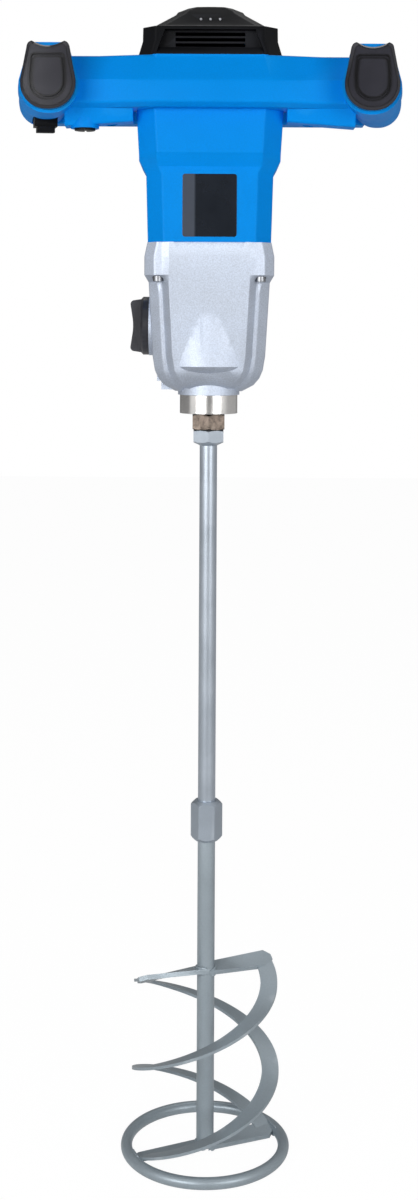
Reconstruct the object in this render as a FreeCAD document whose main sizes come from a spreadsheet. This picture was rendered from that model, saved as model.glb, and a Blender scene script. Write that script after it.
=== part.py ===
import FreeCAD, Part
import Sketcher
import math
import os
from FreeCAD import Vector

# Mixing drill: a two-handled motor head that turns a helical mixing paddle.
# Millimetres. The spindle turns about Z, Z points up, the origin lies on the spindle axis in the
# lower face of the nose collar, and the front of the machine looks along -Y.

doc = FreeCAD.newDocument("mixing_drill")

# Sizes: every length of the machine has a name here, and everything below is bound to these names.
SIZES = {
    # Fits and shared values
    "wall": 3.0,
    "fit_gap": 0.05,
    "run_gap": 0.05,
    "slip_gap": 0.3,
    "overcut": 4.0,
    "hex_corner_share": 0.57735,
    "half_share": 0.5,
    # Mixing rod and its coupling
    "rod_dia": 14.0,
    "rod_hex_flats": 24.0,
    "rod_hex_height": 10.2,
    "rod_hex_chamfer": 1.2,
    "rod_cone_height": 2.4,
    "rod_length": 285.2,
    "stud_length": 17.0,
    "stud_slack": 0.1,
    "coupling_flats": 22.0,
    "coupling_height": 31.8,
    "coupling_chamfer": 3.2,
    "coupling_stud_dia": 12.0,
    "coupling_stud_length": 15.7,
    # Paddle
    "paddle_shaft_length": 247.0,
    "shaft_end_chamfer": 1.5,
    "paddle_pitch": 140.2,
    "paddle_top_drop": 104.4,
    "paddle_start_angle": 24.0,
    "ribbon_outer_radius": 60.2,
    "ribbon_top_radius": 57.4,
    "ribbon_width": 13.5,
    "ribbon_thickness": 2.2,
    "arm_width": 15.0,
    "arm_thickness": 3.6,
    "arm_tip_round": 5.0,
    "top_arm_root_angle": 6.0,
    "top_arm_tip_angle": 33.0,
    "bottom_arm_root_angle": 8.0,
    "bottom_arm_tip_angle": 14.0,
    "ring_radius": 63.0,
    "ring_tube_dia": 9.0,
    # Nose collar, seal and spindle
    "collar_dia": 46.2,
    "collar_height": 15.0,
    "collar_spigot": 3.0,
    "collar_spigot_bore": 34.0,
    "seal_od": 34.0,
    "seal_height": 7.0,
    "seal_depth": 4.0,
    "collar_mouth_dia": 29.0,
    "nose_length": 13.4,
    "nose_flats": 25.6,
    "nose_chamfer": 1.4,
    "nose_recess": 0.6,
    "spindle_dia": 20.0,
    "spindle_bore_depth": 20.0,
    "spindle_bearing_od": 42.0,
    "spindle_bearing_height": 12.0,
    "shoulder_dia": 25.0,
    "gear_seat_dia": 18.0,
    "sleeve_flats": 18.0,
    "high_journal_dia": 16.0,
    "upper_journal_dia": 12.0,
    "upper_bearing_od": 28.0,
    "upper_bearing_height": 8.0,
    "shield_recess": 0.6,
    "race_share": 0.28,
    # Gear train
    "fast_module": 1.0,
    "slow_module": 1.2,
    "tooth_backlash": 0.12,
    "low_gear_width": 12.0,
    "high_gear_width": 12.0,
    "first_gear_width": 12.0,
    "pinion_overrun": 1.0,
    "floor_web": 14.0,
    "gear_gap": 2.0,
    "stack_gap": 6.0,
    "bearing_gap": 1.4,
    "countershaft_dia": 9.0,
    "countershaft_journal_dia": 6.0,
    "counter_bearing_od": 19.0,
    "counter_bearing_height": 6.0,
    "gear_bore_dia": 8.0,
    # Shift sleeve, fork and selector
    "shift_travel": 7.0,
    "sleeve_gap": 1.0,
    "sleeve_height": 15.0,
    "sleeve_dia": 31.0,
    "groove_width": 4.6,
    "groove_dia": 25.0,
    "dog_length": 3.0,
    "dog_inner_dia": 23.5,
    "dog_outer_dia": 29.6,
    "dog_width": 6.0,
    "high_recess_depth": 3.6,
    "fork_thickness": 3.8,
    "fork_outer_dia": 38.0,
    "fork_bore_dia": 25.8,
    "rail_dia": 6.0,
    "rail_x": 24.0,
    "rail_y": 16.0,
    "rail_seat": 3.0,
    "hub_dia": 13.0,
    "hub_height": 18.0,
    "pin_throw": 3.5,
    "pin_dia": 5.0,
    "slot_slack": 0.3,
    "pin_reach": 7.0,
    "slot_wall": 4.0,
    "slot_run": 10.0,
    "stem_dia": 12.0,
    "stem_reach": 11.5,
    "knob_boss_dia": 47.4,
    "knob_boss_face": 48.0,
    "knob_boss_depth": 8.0,
    "knob_dia": 46.6,
    "knob_base_height": 6.0,
    "knob_wing_length": 43.0,
    "knob_wing_height": 9.0,
    "knob_wing_width": 15.0,
    "knob_wing_dip": 3.0,
    "knob_round": 1.6,
    # Gear housing
    "neck_dia": 49.4,
    "neck_height": 13.0,
    "neck_ledge_dia": 54.0,
    "bulge_low_dia": 85.2,
    "bulge_high_dia": 88.6,
    "bulge_low_z": 23.0,
    "bulge_high_z": 76.0,
    "bulge_edge": 2.5,
    "ledge_rise": 2.0,
    "housing_half_width": 48.4,
    "housing_half_depth": 52.0,
    "ear_swell": 2.3,
    "ear_top_drop": 11.0,
    "ear_low_drop": 25.5,
    "column_top_drop": 31.0,
    "column_top_half_width": 47.6,
    "column_low_half_width": 44.6,
    "column_top_front": 48.2,
    "column_low_front": 37.2,
    "column_low_back": 45.0,
    "column_step": 8.0,
    "ear_step": 2.0,
    "ear_low_front": 49.2,
    "ear_low_step": 0.4,
    "centre_half_width": 31.5,
    "centre_low_half_width": 28.5,
    "groove_slope": 5.5,
    "corner_cut": 8.0,
    "corner_round": 3.0,
    "groove_round": 1.2,
    "belly_top_rise": 20.0,
    "belly_mid_rise": 13.5,
    "belly_low_rise": 8.0,
    "belly_end_rise": 3.0,
    "belly_top_share": 0.96,
    "belly_mid_share": 0.90,
    "belly_low_share": 0.80,
    "belly_end_share": 0.60,
    "belly_top_front_share": 0.945,
    "belly_mid_front_share": 0.84,
    "belly_low_front_share": 0.66,
    "belly_end_front_share": 0.42,
    "lug_inner": 25.0,
    "lug_outer": 38.0,
    "lug_low_rise": 4.0,
    "lug_height": 15.0,
    "lug_depth": 12.0,
    "lug_step": 3.4,
    "lug_step_rise": 6.9,
    "band_half_width": 27.4,
    "band_low_half_width": 25.0,
    "band_height": 4.7,
    "band_depth": 1.5,
    "cavity_low_half_width": 38.0,
    "cavity_low_front": 30.0,
    "cavity_low_back": 39.0,
    "cavity_top_half": 44.5,
    "cavity_corner": 12.0,
    "plate_dia": 92.0,
    "plate_height": 8.0,
    "cup_dia": 36.0,
    "cup_bore": 24.0,
    "window_gap": 1.0,
    "screw_x": 40.0,
    "screw_y": 43.0,
    "screw_dia": 5.0,
    "screw_head_dia": 8.0,
    "screw_head_height": 4.5,
    "screw_bite": 16.0,
    "screw_head_drop": 26.0,
    "driver_slack": 0.4,
    # Motor housing
    "barrel_height": 102.0,
    "barrel_half_width": 48.2,
    "barrel_half_top": 49.7,
    "barrel_half_depth": 52.0,
    "barrel_corner": 12.5,
    "barrel_round": 3.0,
    "flare_z": 53.4,
    "flare_rise": 10.0,
    "flare_half_width": 55.2,
    "flare_half_depth": 60.0,
    "flare_top_half_width": 57.2,
    "flare_top_half_depth": 61.0,
    "flare_corner": 14.5,
    "flare_lag_share": 0.5,
    "stator_bore": 91.0,
    "bracket_bore": 96.0,
    "bracket_ledge": 84.0,
    "label_half_width": 21.0,
    "label_height": 48.6,
    "label_rise": 4.0,
    "label_thickness": 1.2,
    "label_sink": 0.7,
    "label_round": 2.0,
    "air_slot_length": 30.0,
    "air_slot_height": 3.0,
    "air_slot_pitch": 6.5,
    "air_slot_rise": 9.0,
    # Motor
    "armature_bearing_od": 26.0,
    "armature_journal_dia": 10.0,
    "armature_dia": 12.0,
    "tail_journal_dia": 8.0,
    "tail_bearing_od": 22.0,
    "tail_bearing_height": 7.0,
    "fan_rise": 3.5,
    "fan_height": 10.0,
    "fan_dia": 80.0,
    "fan_hub_dia": 24.0,
    "fan_disc": 2.0,
    "fan_blade": 1.8,
    "core_rise": 21.0,
    "core_height": 54.0,
    "core_dia": 50.0,
    "core_slot_width": 3.2,
    "core_slot_depth": 9.0,
    "winding_height": 7.0,
    "winding_dia": 44.0,
    "stator_dia": 90.4,
    "stator_gap": 1.0,
    "coil_height": 6.5,
    "coil_inner_dia": 56.0,
    "coil_outer_dia": 84.0,
    "coil_split": 6.0,
    "commutator_rise": 6.0,
    "commutator_height": 18.0,
    "commutator_dia": 34.0,
    "bracket_plate": 3.0,
    "bracket_bore_low": 48.0,
    "bracket_height": 27.0,
    "bracket_skin": 3.6,
    "bracket_hub_dia": 30.0,
    "bracket_hub_rise": 9.0,
    "brush_gap": 0.3,
    "brush_length": 13.0,
    "brush_width": 8.0,
    "brush_height": 7.0,
    "brush_lift": 2.4,
    "box_length": 22.0,
    "box_skin": 1.2,
    "box_gap": 1.4,
    # Handle frame
    "handle_height": 40.6,
    "parting_rise": 21.0,
    "hub_half_width": 58.0,
    "hub_front": 68.0,
    "hub_back": 72.0,
    "hub_corner": 16.0,
    "bar_front": 77.0,
    "bar_side_setback": 9.0,
    "bar_centre_half": 46.0,
    "bar_side_x": 86.0,
    "bar_end_x": 124.0,
    "belly_start_x": 59.5,
    "belly_end_x": 112.0,
    "bar_chin": 6.5,
    "bar_chin_rise": 3.5,
    "bar_top_setback": 10.5,
    "crease_drop": 2.4,
    "bar_inner": 36.0,
    "bar_belly_drop": 9.6,
    "bar_belly_end_drop": 13.4,
    "bar_belly_run": 20.0,
    "bar_round": 3.0,
    "rear_bar_inner": 62.0,
    "rear_bar_outer": 90.0,
    "rear_bar_half": 130.0,
    "rear_bar_rise": 3.0,
    "rear_bar_chamfer": 8.0,
    "grip_front": 84.0,
    "grip_front_x": 122.0,
    "grip_rear": 92.0,
    "grip_rear_x": 144.5,
    "grip_half_width": 20.2,
    "grip_top_half": 14.6,
    "grip_height": 51.0,
    "grip_drop": 4.6,
    "grip_shoulder": 22.0,
    "grip_round_share": 0.94,
    "grip_top_round": 5.0,
    "grip_head_grow": 2.4,
    "grip_waist": 2.0,
    "grip_waist_y": 4.0,
    "grip_full_y": 52.0,
    "grip_end_inset": 5.0,
    "grip_end_length": 12.0,
    "grip_mid_lift": 4.0,
    "grip_rear_lift": 10.0,
    "motor_mouth_dia": 97.0,
    "air_mouth_dia": 88.0,
    "post_dia": 12.0,
    "post_front_x": 76.0,
    "post_front_y": 41.5,
    "post_rear_x": 84.0,
    "post_rear_y": 76.0,
    "post_end_x": 139.0,
    "handle_screw_dia": 4.0,
    "handle_screw_length": 24.0,
    "handle_head_dia": 7.4,
    "handle_head_height": 3.0,
    "handle_head_z": 9.0,
    "barrel_screw_x": 42.0,
    "barrel_screw_y": 47.0,
    "barrel_screw_bite": 14.0,
    # Bumpers
    "bumper_depth": 8.0,
    "bumper_top_round": 4.0,
    "bumper_shoulder_round": 6.0,
    "bumper_grow": 0.6,
    "bumper_notch_half": 12.2,
    "bumper_notch_round": 3.0,
    "bumper_dip": 5.4,
    "bumper_dip_round": 20.0,
    "bumper_round": 2.2,
    "bumper_groove": 1.5,
    "bumper_groove_depth": 1.6,
    "panel_half_width": 11.8,
    "panel_top_half": 10.6,
    "panel_rise": 9.0,
    "panel_height": 30.4,
    "panel_shoulder": 27.0,
    "panel_round": 2.5,
    # Trigger, switch and dial
    "trigger_pivot_y": 38.0,
    "trigger_pivot_rise": 10.0,
    "trigger_length": 70.0,
    "trigger_tail": 6.0,
    "trigger_crown": 4.0,
    "trigger_heel": 6.0,
    "trigger_knee": 16.0,
    "trigger_drop": 16.0,
    "trigger_toe_drop": 21.0,
    "trigger_width": 18.0,
    "trigger_round": 3.0,
    "trigger_pin_dia": 4.0,
    "pad_width": 14.0,
    "pad_height": 4.6,
    "pad_length": 44.0,
    "pad_setback": 1.5,
    "rib_depth": 1.2,
    "rib_width": 2.0,
    "trigger_slot_width": 19.6,
    "trigger_slot_length": 85.0,
    "trigger_slot_front": 75.0,
    "trigger_slot_depth": 13.0,
    "switch_length": 58.0,
    "switch_width": 20.0,
    "switch_height": 14.0,
    "switch_rise": 19.0,
    "switch_front": 38.0,
    "switch_ear": 2.2,
    "switch_ear_length": 6.4,
    "cradle_start": 12.0,
    "cradle_length": 8.0,
    "cradle_width": 22.0,
    "dial_x": 97.0,
    "dial_y": 48.0,
    "dial_boss_dia": 22.0,
    "dial_boss_drop": 14.5,
    "dial_dia": 16.0,
    "dial_height": 5.0,
    "dial_proud": 1.6,
    "dial_stem_dia": 5.0,
    "dial_stem_length": 12.0,
    "dial_seat_rise": 1.0,
    "dial_grip_width": 1.6,
    "dial_grip_depth": 0.8,
    "module_length": 23.4,
    "module_depth": 12.0,
    "module_height": 10.0,
    # Cable inlet
    "inlet_dia": 18.0,
    "inlet_flange_dia": 22.0,
    "inlet_length": 9.0,
    "inlet_bore": 8.0,
    "inlet_seat": 4.0,
    "inlet_rise": 25.5,
    "inlet_flange": 3.0,
    "inlet_bore_depth": 8.0,
    # Top cap
    "cap_half_width": 55.8,
    "cap_front": 64.0,
    "cap_back": 66.0,
    "cap_waist_rise": 12.4,
    "cap_waist_half_width": 52.4,
    "cap_waist_front": 60.0,
    "cap_waist_back": 61.0,
    "cap_side_rise": 23.4,
    "cap_top_half_width": 52.3,
    "cap_top_front": 57.5,
    "cap_top_back": 58.0,
    "cap_shoulder_rise": 24.8,
    "cap_shoulder_half_width": 44.0,
    "cap_shoulder_front": 54.0,
    "cap_shoulder_back": 54.0,
    "cap_dome_rise": 35.8,
    "cap_dome_half_width": 27.3,
    "cap_dome_front": 43.0,
    "cap_dome_back": 44.0,
    "cap_edge_rise": 38.5,
    "cap_edge_half_width": 25.6,
    "cap_edge_front": 40.0,
    "cap_edge_back": 41.0,
    "cap_crown_rise": 42.1,
    "cap_crown_half_width": 17.8,
    "cap_crown_front": 36.0,
    "cap_crown_back": 37.0,
    "cap_tip_rise": 44.2,
    "cap_tip_half_width": 7.0,
    "cap_tip_front": 26.0,
    "cap_tip_back": 27.0,
    "cap_corner": 10.0,
    "cap_shoulder_corner": 9.0,
    "cap_dome_corner": 8.0,
    "cap_crown_corner": 7.0,
    "cap_tip_corner": 4.0,
    "cap_tip_round": 1.5,
    "cap_screw_length": 14.0,
    "cap_corner_round": 3.0,
    "vent_half_width": 42.0,
    "vent_top_half_width": 35.0,
    "vent_rise": 1.2,
    "vent_height": 19.7,
    "vent_depth": 13.0,
    "vent_block_depth": 17.0,
    "sill_rise": 5.7,
    "sill_run": 6.0,
    "louvre_half_width": 27.0,
    "louvre_height": 2.8,
    "louvre_pitch": 4.2,
    "cap_hole_dia": 2.4,
    "cap_hole_pitch": 7.4,
    "cap_screw_x": 36.0,
    "cap_screw_y": 44.0,
}

# Plain counts of teeth, slots and blades.
FAST_PINION_TEETH = 7
FIRST_GEAR_TEETH = 41
LOW_PINION_TEETH = 7
LOW_GEAR_TEETH = 33
HIGH_PINION_TEETH = 10
HIGH_GEAR_TEETH = 30
PRESSURE_ANGLE = 25.0
FLANK_STEPS = 4
ADDENDUM_SHARE = 0.8
DEDENDUM_SHARE = 1.1
CORE_SLOTS = 12
FAN_BLADES = 11
DOG_COUNT = 4
AIR_SLOTS = 4
PAD_RIBS = 8
VENT_LOUVRES = 3

sheet = doc.addObject("Spreadsheet::Sheet", "Sizes")


class Length:
    """A named size, or a sum of named sizes: its value now and the sheet formula that keeps it bound."""

    def __init__(self, value, formula):
        self.value = value
        self.formula = formula

    def __float__(self):
        return float(self.value)

    def __add__(self, other):
        other = as_length(other)
        return Length(self.value + other.value, f"({self.formula} + {other.formula})")

    def __radd__(self, other):
        return as_length(other) + self

    def __sub__(self, other):
        other = as_length(other)
        return Length(self.value - other.value, f"({self.formula} - {other.formula})")

    def __rsub__(self, other):
        return as_length(other) - self

    def __mul__(self, other):
        other = as_length(other)
        return Length(self.value * other.value, f"({self.formula} * {other.formula})")

    def __rmul__(self, other):
        return as_length(other) * self

    def __truediv__(self, other):
        other = as_length(other)
        return Length(self.value / other.value, f"({self.formula} / {other.formula})")

    def __neg__(self):
        return Length(-self.value, f"(0 - {self.formula})")


def as_length(number):
    if isinstance(number, Length):
        return number
    return Length(float(number), repr(number))


class Named:
    """The sheet's aliases as attributes."""


d = Named()
for row, (alias, number) in enumerate(SIZES.items(), 1):
    sheet.set(f"A{row}", alias)
    sheet.set(f"B{row}", str(number))
    sheet.setAlias(f"B{row}", alias)
    setattr(d, alias, Length(number, "Sizes." + alias))
doc.recompute()

ZERO = as_length(0)
FULL_TURN = 360.0
nodes = []


# Helpers: each one adds a document object whose sizes are bound to the sheet.
def bind(item, prop, length):
    item.setExpression(prop, as_length(length).formula)


def half(length):
    return length * d.half_share


def place(item, at=(ZERO, ZERO, ZERO), turn=None):
    """Put an object at a bound point, turned about an axis first if one is given."""
    if turn is not None:
        axis, angle = turn
        item.Placement = FreeCAD.Placement(Vector(), FreeCAD.Rotation(Vector(*axis), angle))
    for letter, length in zip("xyz", at):
        bind(item, f"Placement.Base.{letter}", length)
    return item


def keep(item, label):
    """Hand an object in as the node of that name."""
    item.Label = label
    nodes.append(item)
    return item


def new_body(name, at=(ZERO, ZERO, ZERO), turn=None):
    body = doc.addObject("PartDesign::Body", name)
    return place(body, at, turn)


def corner_arc(before, corner, after, radius):
    to_before = (before - corner).normalize()
    to_after = (after - corner).normalize()
    angle = to_before.getAngle(to_after)
    run = radius / math.tan(angle / 2)
    middle = (to_before + to_after).normalize()
    centre = corner + middle * (radius / math.sin(angle / 2))
    return corner + to_before * run, centre - middle * radius, corner + to_after * run


def outline(body, plane, points, offset=ZERO):
    """A closed, fully bound sketch; a point is (u, v) or (u, v, radius) for a rounded corner."""
    sketch = body.newObject("Sketcher::SketchObject", body.Name + "_outline")
    support = [item for item in body.Origin.OriginFeatures if item.Role == plane + "_Plane"][0]
    sketch.AttachmentSupport = [(support, "")]
    sketch.MapMode = "FlatFace"
    bind(sketch, "AttachmentOffset.Base.z", offset)
    count = len(points)
    corners = [Vector(float(point[0]), float(point[1]), 0) for point in points]
    arcs = []
    for index, point in enumerate(points):
        arc = None
        if len(point) > 2:
            neighbours = corners[index - 1], corners[index], corners[(index + 1) % count]
            arc = corner_arc(*neighbours, float(point[2]))
        arcs.append(arc)
    lines = []
    for index in range(count):
        following = (index + 1) % count
        start = arcs[index][2] if arcs[index] else corners[index]
        end = arcs[following][0] if arcs[following] else corners[following]
        lines.append(Part.LineSegment(start, end))
    sketch.addGeometry(lines, False)
    rounded = [index for index in range(count) if arcs[index]]
    sketch.addGeometry([Part.Arc(*arcs[index]) for index in rounded], False)
    sketch.addGeometry([Part.Point(corners[index]) for index in rounded], True)
    rules = []
    bound = []

    def rule(*terms, length=None):
        if length is not None:
            bound.append((len(rules), length))
        rules.append(Sketcher.Constraint(*terms))

    for index, point in enumerate(points):
        before = (index - 1) % count
        geometry = index
        if arcs[index] is None:
            rule("Coincident", before, 2, index, 1)
        else:
            arc = count + rounded.index(index)
            geometry = arc + len(rounded)
            start, middle, end = arcs[index]
            forward = (middle - start).cross(end - middle).z > 0
            first, last = (1, 2) if forward else (2, 1)
            rule("Tangent", before, 2, arc, first)
            rule("Tangent", arc, last, index, 1)
            rule("Radius", arc, float(point[2]), length=point[2])
            rule("PointOnObject", geometry, 1, before)
            rule("PointOnObject", geometry, 1, index)
        for kind, length in (("DistanceX", point[0]), ("DistanceY", point[1])):
            rule(kind, -1, 1, geometry, 1, float(length), length=length)
    sketch.addConstraint(rules)
    for number, length in bound:
        bind(sketch, f"Constraints[{number}]", length)
    return sketch


def pad(body, sketch, length, midplane=False, reverse=False):
    feature = body.newObject("PartDesign::Pad", body.Name + "_pad")
    feature.Profile = sketch
    bind(feature, "Length", length)
    feature.Midplane = midplane
    feature.Reversed = reverse
    body.Tip = feature
    return feature


def loft(body, sketches, cut=False, ruled=True):
    kind = "PartDesign::SubtractiveLoft" if cut else "PartDesign::AdditiveLoft"
    feature = body.newObject(kind, body.Name + "_loft")
    feature.Profile = sketches[0]
    feature.Sections = sketches[1:]
    feature.Ruled = ruled
    body.Tip = feature
    return feature


def turned(name, points, at=(ZERO, ZERO, ZERO), turn=None):
    """A body turned about its own Z from (radius, height) points."""
    body = new_body(name, at, turn)
    sketch = outline(body, "XZ", points)
    feature = body.newObject("PartDesign::Revolution", name + "_turned")
    feature.Profile = sketch
    feature.ReferenceAxis = (sketch, ["V_Axis"])
    feature.Angle = FULL_TURN
    body.Tip = feature
    return body


def ring_points(inner, outer, low, high):
    return [(inner, low), (outer, low), (outer, high), (inner, high)]


def extruded(name, plane, points, length, at=(ZERO, ZERO, ZERO), turn=None, midplane=True):
    body = new_body(name, at, turn)
    pad(body, outline(body, plane, points), length, midplane)
    return body


def block(name, x, y, z, size, turn=None):
    """A box from its low corner."""
    item = doc.addObject("Part::Box", name)
    for prop, length in zip(("Length", "Width", "Height"), size):
        bind(item, prop, length)
    return place(item, (x, y, z), turn)


def middle_block(name, centre_x, centre_y, z, size):
    """A box centred on a point in plan."""
    return block(name, centre_x - half(size[0]), centre_y - half(size[1]), z, size)


def bar(name, dia, length, at, turn=None):
    """A round bar; it stands along Z unless turned."""
    item = doc.addObject("Part::Cylinder", name)
    bind(item, "Radius", half(dia))
    bind(item, "Height", length)
    return place(item, at, turn)


def hexagon(name, flats, height, at, angle=0.0):
    item = doc.addObject("Part::Prism", name)
    item.Polygon = 6
    bind(item, "Circumradius", flats * d.hex_corner_share)
    bind(item, "Height", height)
    return place(item, at, ((0, 0, 1), angle))


def join(name, parts):
    if len(parts) == 1:
        return parts[0]
    item = doc.addObject("Part::MultiFuse", name)
    item.Shapes = parts
    item.Refine = True
    return item


def cut(name, base, tools):
    item = doc.addObject("Part::Cut", name)
    item.Base = base
    item.Tool = join(name + "_tools", tools)
    item.Refine = True
    return item


def common(name, first, second):
    item = doc.addObject("Part::Common", name)
    item.Base = first
    item.Tool = second
    return item


def group(name, parts):
    item = doc.addObject("Part::Compound", name)
    item.Links = parts
    return item


def made(name, shape, at=(ZERO, ZERO, ZERO)):
    """A shape worked out from the sheet's values where no ready feature fits."""
    item = doc.addObject("Part::Feature", name)
    item.Shape = shape
    return place(item, at)


ALONG_X = ((0, 1, 0), 90.0)
ALONG_Y = ((1, 0, 0), -90.0)
CORNERS = ((1, 1), (1, -1), (-1, 1), (-1, -1))


# Gear teeth: an involute flank with backlash, taken from module, tooth count and profile shift.
def tooth_outline(module, teeth, shift, phase):
    pitch_radius = module * teeth / 2
    alpha = math.radians(PRESSURE_ANGLE)
    base_radius = pitch_radius * math.cos(alpha)
    tip_radius = pitch_radius + module * (ADDENDUM_SHARE + shift)
    root_radius = pitch_radius - module * (DEDENDUM_SHARE - shift)
    thickness = module * (math.pi / 2 + 2 * shift * math.tan(alpha)) - float(d.tooth_backlash)
    involute = math.tan(alpha) - alpha
    start_radius = max(base_radius, root_radius)

    def half_angle(radius):
        slope = math.acos(min(base_radius / radius, 1))
        return thickness / (2 * pitch_radius) + involute - (math.tan(slope) - slope)

    flank = []
    if root_radius < base_radius:
        flank.append((root_radius, half_angle(base_radius)))
    for step in range(FLANK_STEPS):
        radius = start_radius + (tip_radius - start_radius) * step / (FLANK_STEPS - 1)
        flank.append((radius, half_angle(radius)))
    points = []
    for tooth in range(teeth):
        centre = math.radians(phase) + 2 * math.pi * tooth / teeth
        for radius, angle in flank:
            points.append(polar(radius, centre - angle))
        for radius, angle in reversed(flank):
            points.append(polar(radius, centre + angle))
    return points


def polar(radius, angle, height=0.0):
    return Vector(radius * math.cos(angle), radius * math.sin(angle), height)


def gear_shape(module, teeth, shift, width, phase):
    points = tooth_outline(float(module), teeth, shift, phase)
    face = Part.Face(Part.makePolygon(points + points[:1]))
    return face.extrude(Vector(0, 0, float(width)))


def phase_to_partner(teeth, partner_side, has_tooth):
    """Turn a wheel so that a tooth, or a gap, faces its partner."""
    return partner_side + (0.0 if has_tooth else FULL_TURN / 2 / teeth)


# Heights, each stacked on the one below it.
z_neck = d.collar_height
z_lower_bearing = z_neck + d.collar_spigot
z_floor = z_lower_bearing + d.spindle_bearing_height + d.floor_web
z_low = z_floor + d.gear_gap
z_low_top = z_low + d.low_gear_width
z_sleeve = z_low_top + d.sleeve_gap
z_sleeve_top = z_sleeve + d.sleeve_height
z_groove = z_sleeve + half(d.sleeve_height)
z_selector = z_groove + half(d.shift_travel)
z_high = z_sleeve_top + d.shift_travel + d.slip_gap * 2
z_high_top = z_high + d.high_gear_width
z_upper_bearing = z_high_top + d.bearing_gap
z_upper_bearing_top = z_upper_bearing + d.upper_bearing_height
z_first = z_upper_bearing_top + d.stack_gap
z_first_top = z_first + d.first_gear_width
z_plate = z_first_top + d.stack_gap
z_joint = z_plate + d.plate_height
z_core = z_joint + d.core_rise
z_core_top = z_core + d.core_height
z_ledge = z_joint + d.bracket_ledge
z_plate_top = z_ledge + d.bracket_plate
z_bracket_top = z_ledge + d.bracket_height + d.bracket_plate
z_handle = z_joint + d.barrel_height
z_parting = z_handle + d.parting_rise
z_handle_top = z_handle + d.handle_height
z_rod = -d.nose_length
z_rod_hex = z_rod - d.rod_hex_height
z_coupling_top = z_rod_hex - d.rod_cone_height - d.rod_length
z_coupling = z_coupling_top - d.coupling_height
z_paddle_top = z_coupling - d.paddle_top_drop
z_paddle = z_paddle_top - d.paddle_pitch
centre_distance = d.fast_module * (FAST_PINION_TEETH + FIRST_GEAR_TEETH) / 2


# Mixing rod: stud, wrench hexagon, cone and long round rod with a lower stud.
def chamfered_hexagon(name, flats, low, height, chamfer, angle):
    prism = hexagon(name + "_prism", flats, height, (ZERO, ZERO, low), angle)
    corner = flats * d.hex_corner_share
    face = flats * d.half_share - chamfer * d.half_share
    rise = chamfer
    profile = [
        (ZERO, low),
        (face, low),
        (corner, low + rise),
        (corner, low + height - rise),
        (face, low + height),
        (ZERO, low + height),
    ]
    return common(name, prism, turned(name + "_chamfer", profile))


rod_radius = half(d.rod_dia)
stud_radius = rod_radius - d.stud_slack
small_stud = half(d.coupling_stud_dia)
rod_round = turned("rod_round", [
    (ZERO, z_coupling_top - d.coupling_stud_length),
    (small_stud, z_coupling_top - d.coupling_stud_length),
    (small_stud, z_coupling_top),
    (rod_radius, z_coupling_top),
    (rod_radius, z_rod_hex - d.rod_cone_height),
    (half(d.rod_hex_flats), z_rod_hex),
    (half(d.rod_hex_flats), z_rod_hex + d.rod_hex_chamfer),
    (stud_radius, z_rod_hex + d.rod_hex_chamfer),
    (stud_radius, z_rod + d.stud_length - d.shaft_end_chamfer),
    (stud_radius - d.shaft_end_chamfer, z_rod + d.stud_length),
    (ZERO, z_rod + d.stud_length),
])
rod_hex = chamfered_hexagon(
    "rod_hex", d.rod_hex_flats, z_rod_hex, d.rod_hex_height, d.rod_hex_chamfer, 30.0
)
keep(join("mixing_rod", [rod_round, rod_hex]), "mixing_rod")

coupling_hex = chamfered_hexagon(
    "coupling_hex", d.coupling_flats, z_coupling, d.coupling_height, d.coupling_chamfer, 0.0
)
coupling_bore = bar(
    "coupling_bore",
    d.coupling_stud_dia + d.fit_gap * 2,
    d.coupling_height + d.overcut * 2,
    (ZERO, ZERO, z_coupling - d.overcut),
)
keep(cut("rod_coupling", coupling_hex, [coupling_bore]), "rod_coupling")

# Paddle: shaft, two pitched cross arms at each end, two helical ribbons and the lower ring.
z_shaft_end = z_coupling - d.paddle_shaft_length
paddle_shaft = turned("paddle_shaft", [
    (ZERO, z_shaft_end),
    (rod_radius - d.shaft_end_chamfer, z_shaft_end),
    (rod_radius, z_shaft_end + d.shaft_end_chamfer),
    (rod_radius, z_coupling),
    (small_stud, z_coupling),
    (small_stud, z_coupling + d.coupling_stud_length),
    (ZERO, z_coupling + d.coupling_stud_length),
])
keep(paddle_shaft, "paddle_shaft")

ring = doc.addObject("Part::Torus", "paddle_ring")
bind(ring, "Radius1", d.ring_radius)
bind(ring, "Radius2", half(d.ring_tube_dia))
place(ring, (ZERO, ZERO, z_paddle))
keep(ring, "paddle_ring")


def arm_shape(side, reach, root_angle, tip_angle):
    """One flat arm, twisted along its length, from the shaft out to the ribbon."""
    inner = float(rod_radius)
    outer = float(reach)
    wide = float(d.arm_width) / 2
    thick = float(d.arm_thickness) / 2
    tip = float(d.arm_tip_round)
    twist = (float(tip_angle) - float(root_angle)) / outer
    sections = []
    for along, half_width in ((0, wide), (outer - tip, wide), (outer, wide - tip)):
        corners = ((-half_width, -thick), (half_width, -thick), (half_width, thick), (-half_width, thick))
        points = [Vector(along, across, up) for across, up in corners]
        section = Part.makePolygon(points + points[:1])
        section.rotate(Vector(), Vector(1, 0, 0), float(root_angle) + twist * along)
        sections.append(section)
    plate = Part.makeLoft(sections, True, True)
    plate.rotate(Vector(), Vector(0, 0, 1), float(d.paddle_start_angle) + side)
    hole = Part.makeCylinder(inner + float(d.fit_gap), 4 * wide, Vector(0, 0, -2 * wide))
    return plate.cut(hole)


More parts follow.
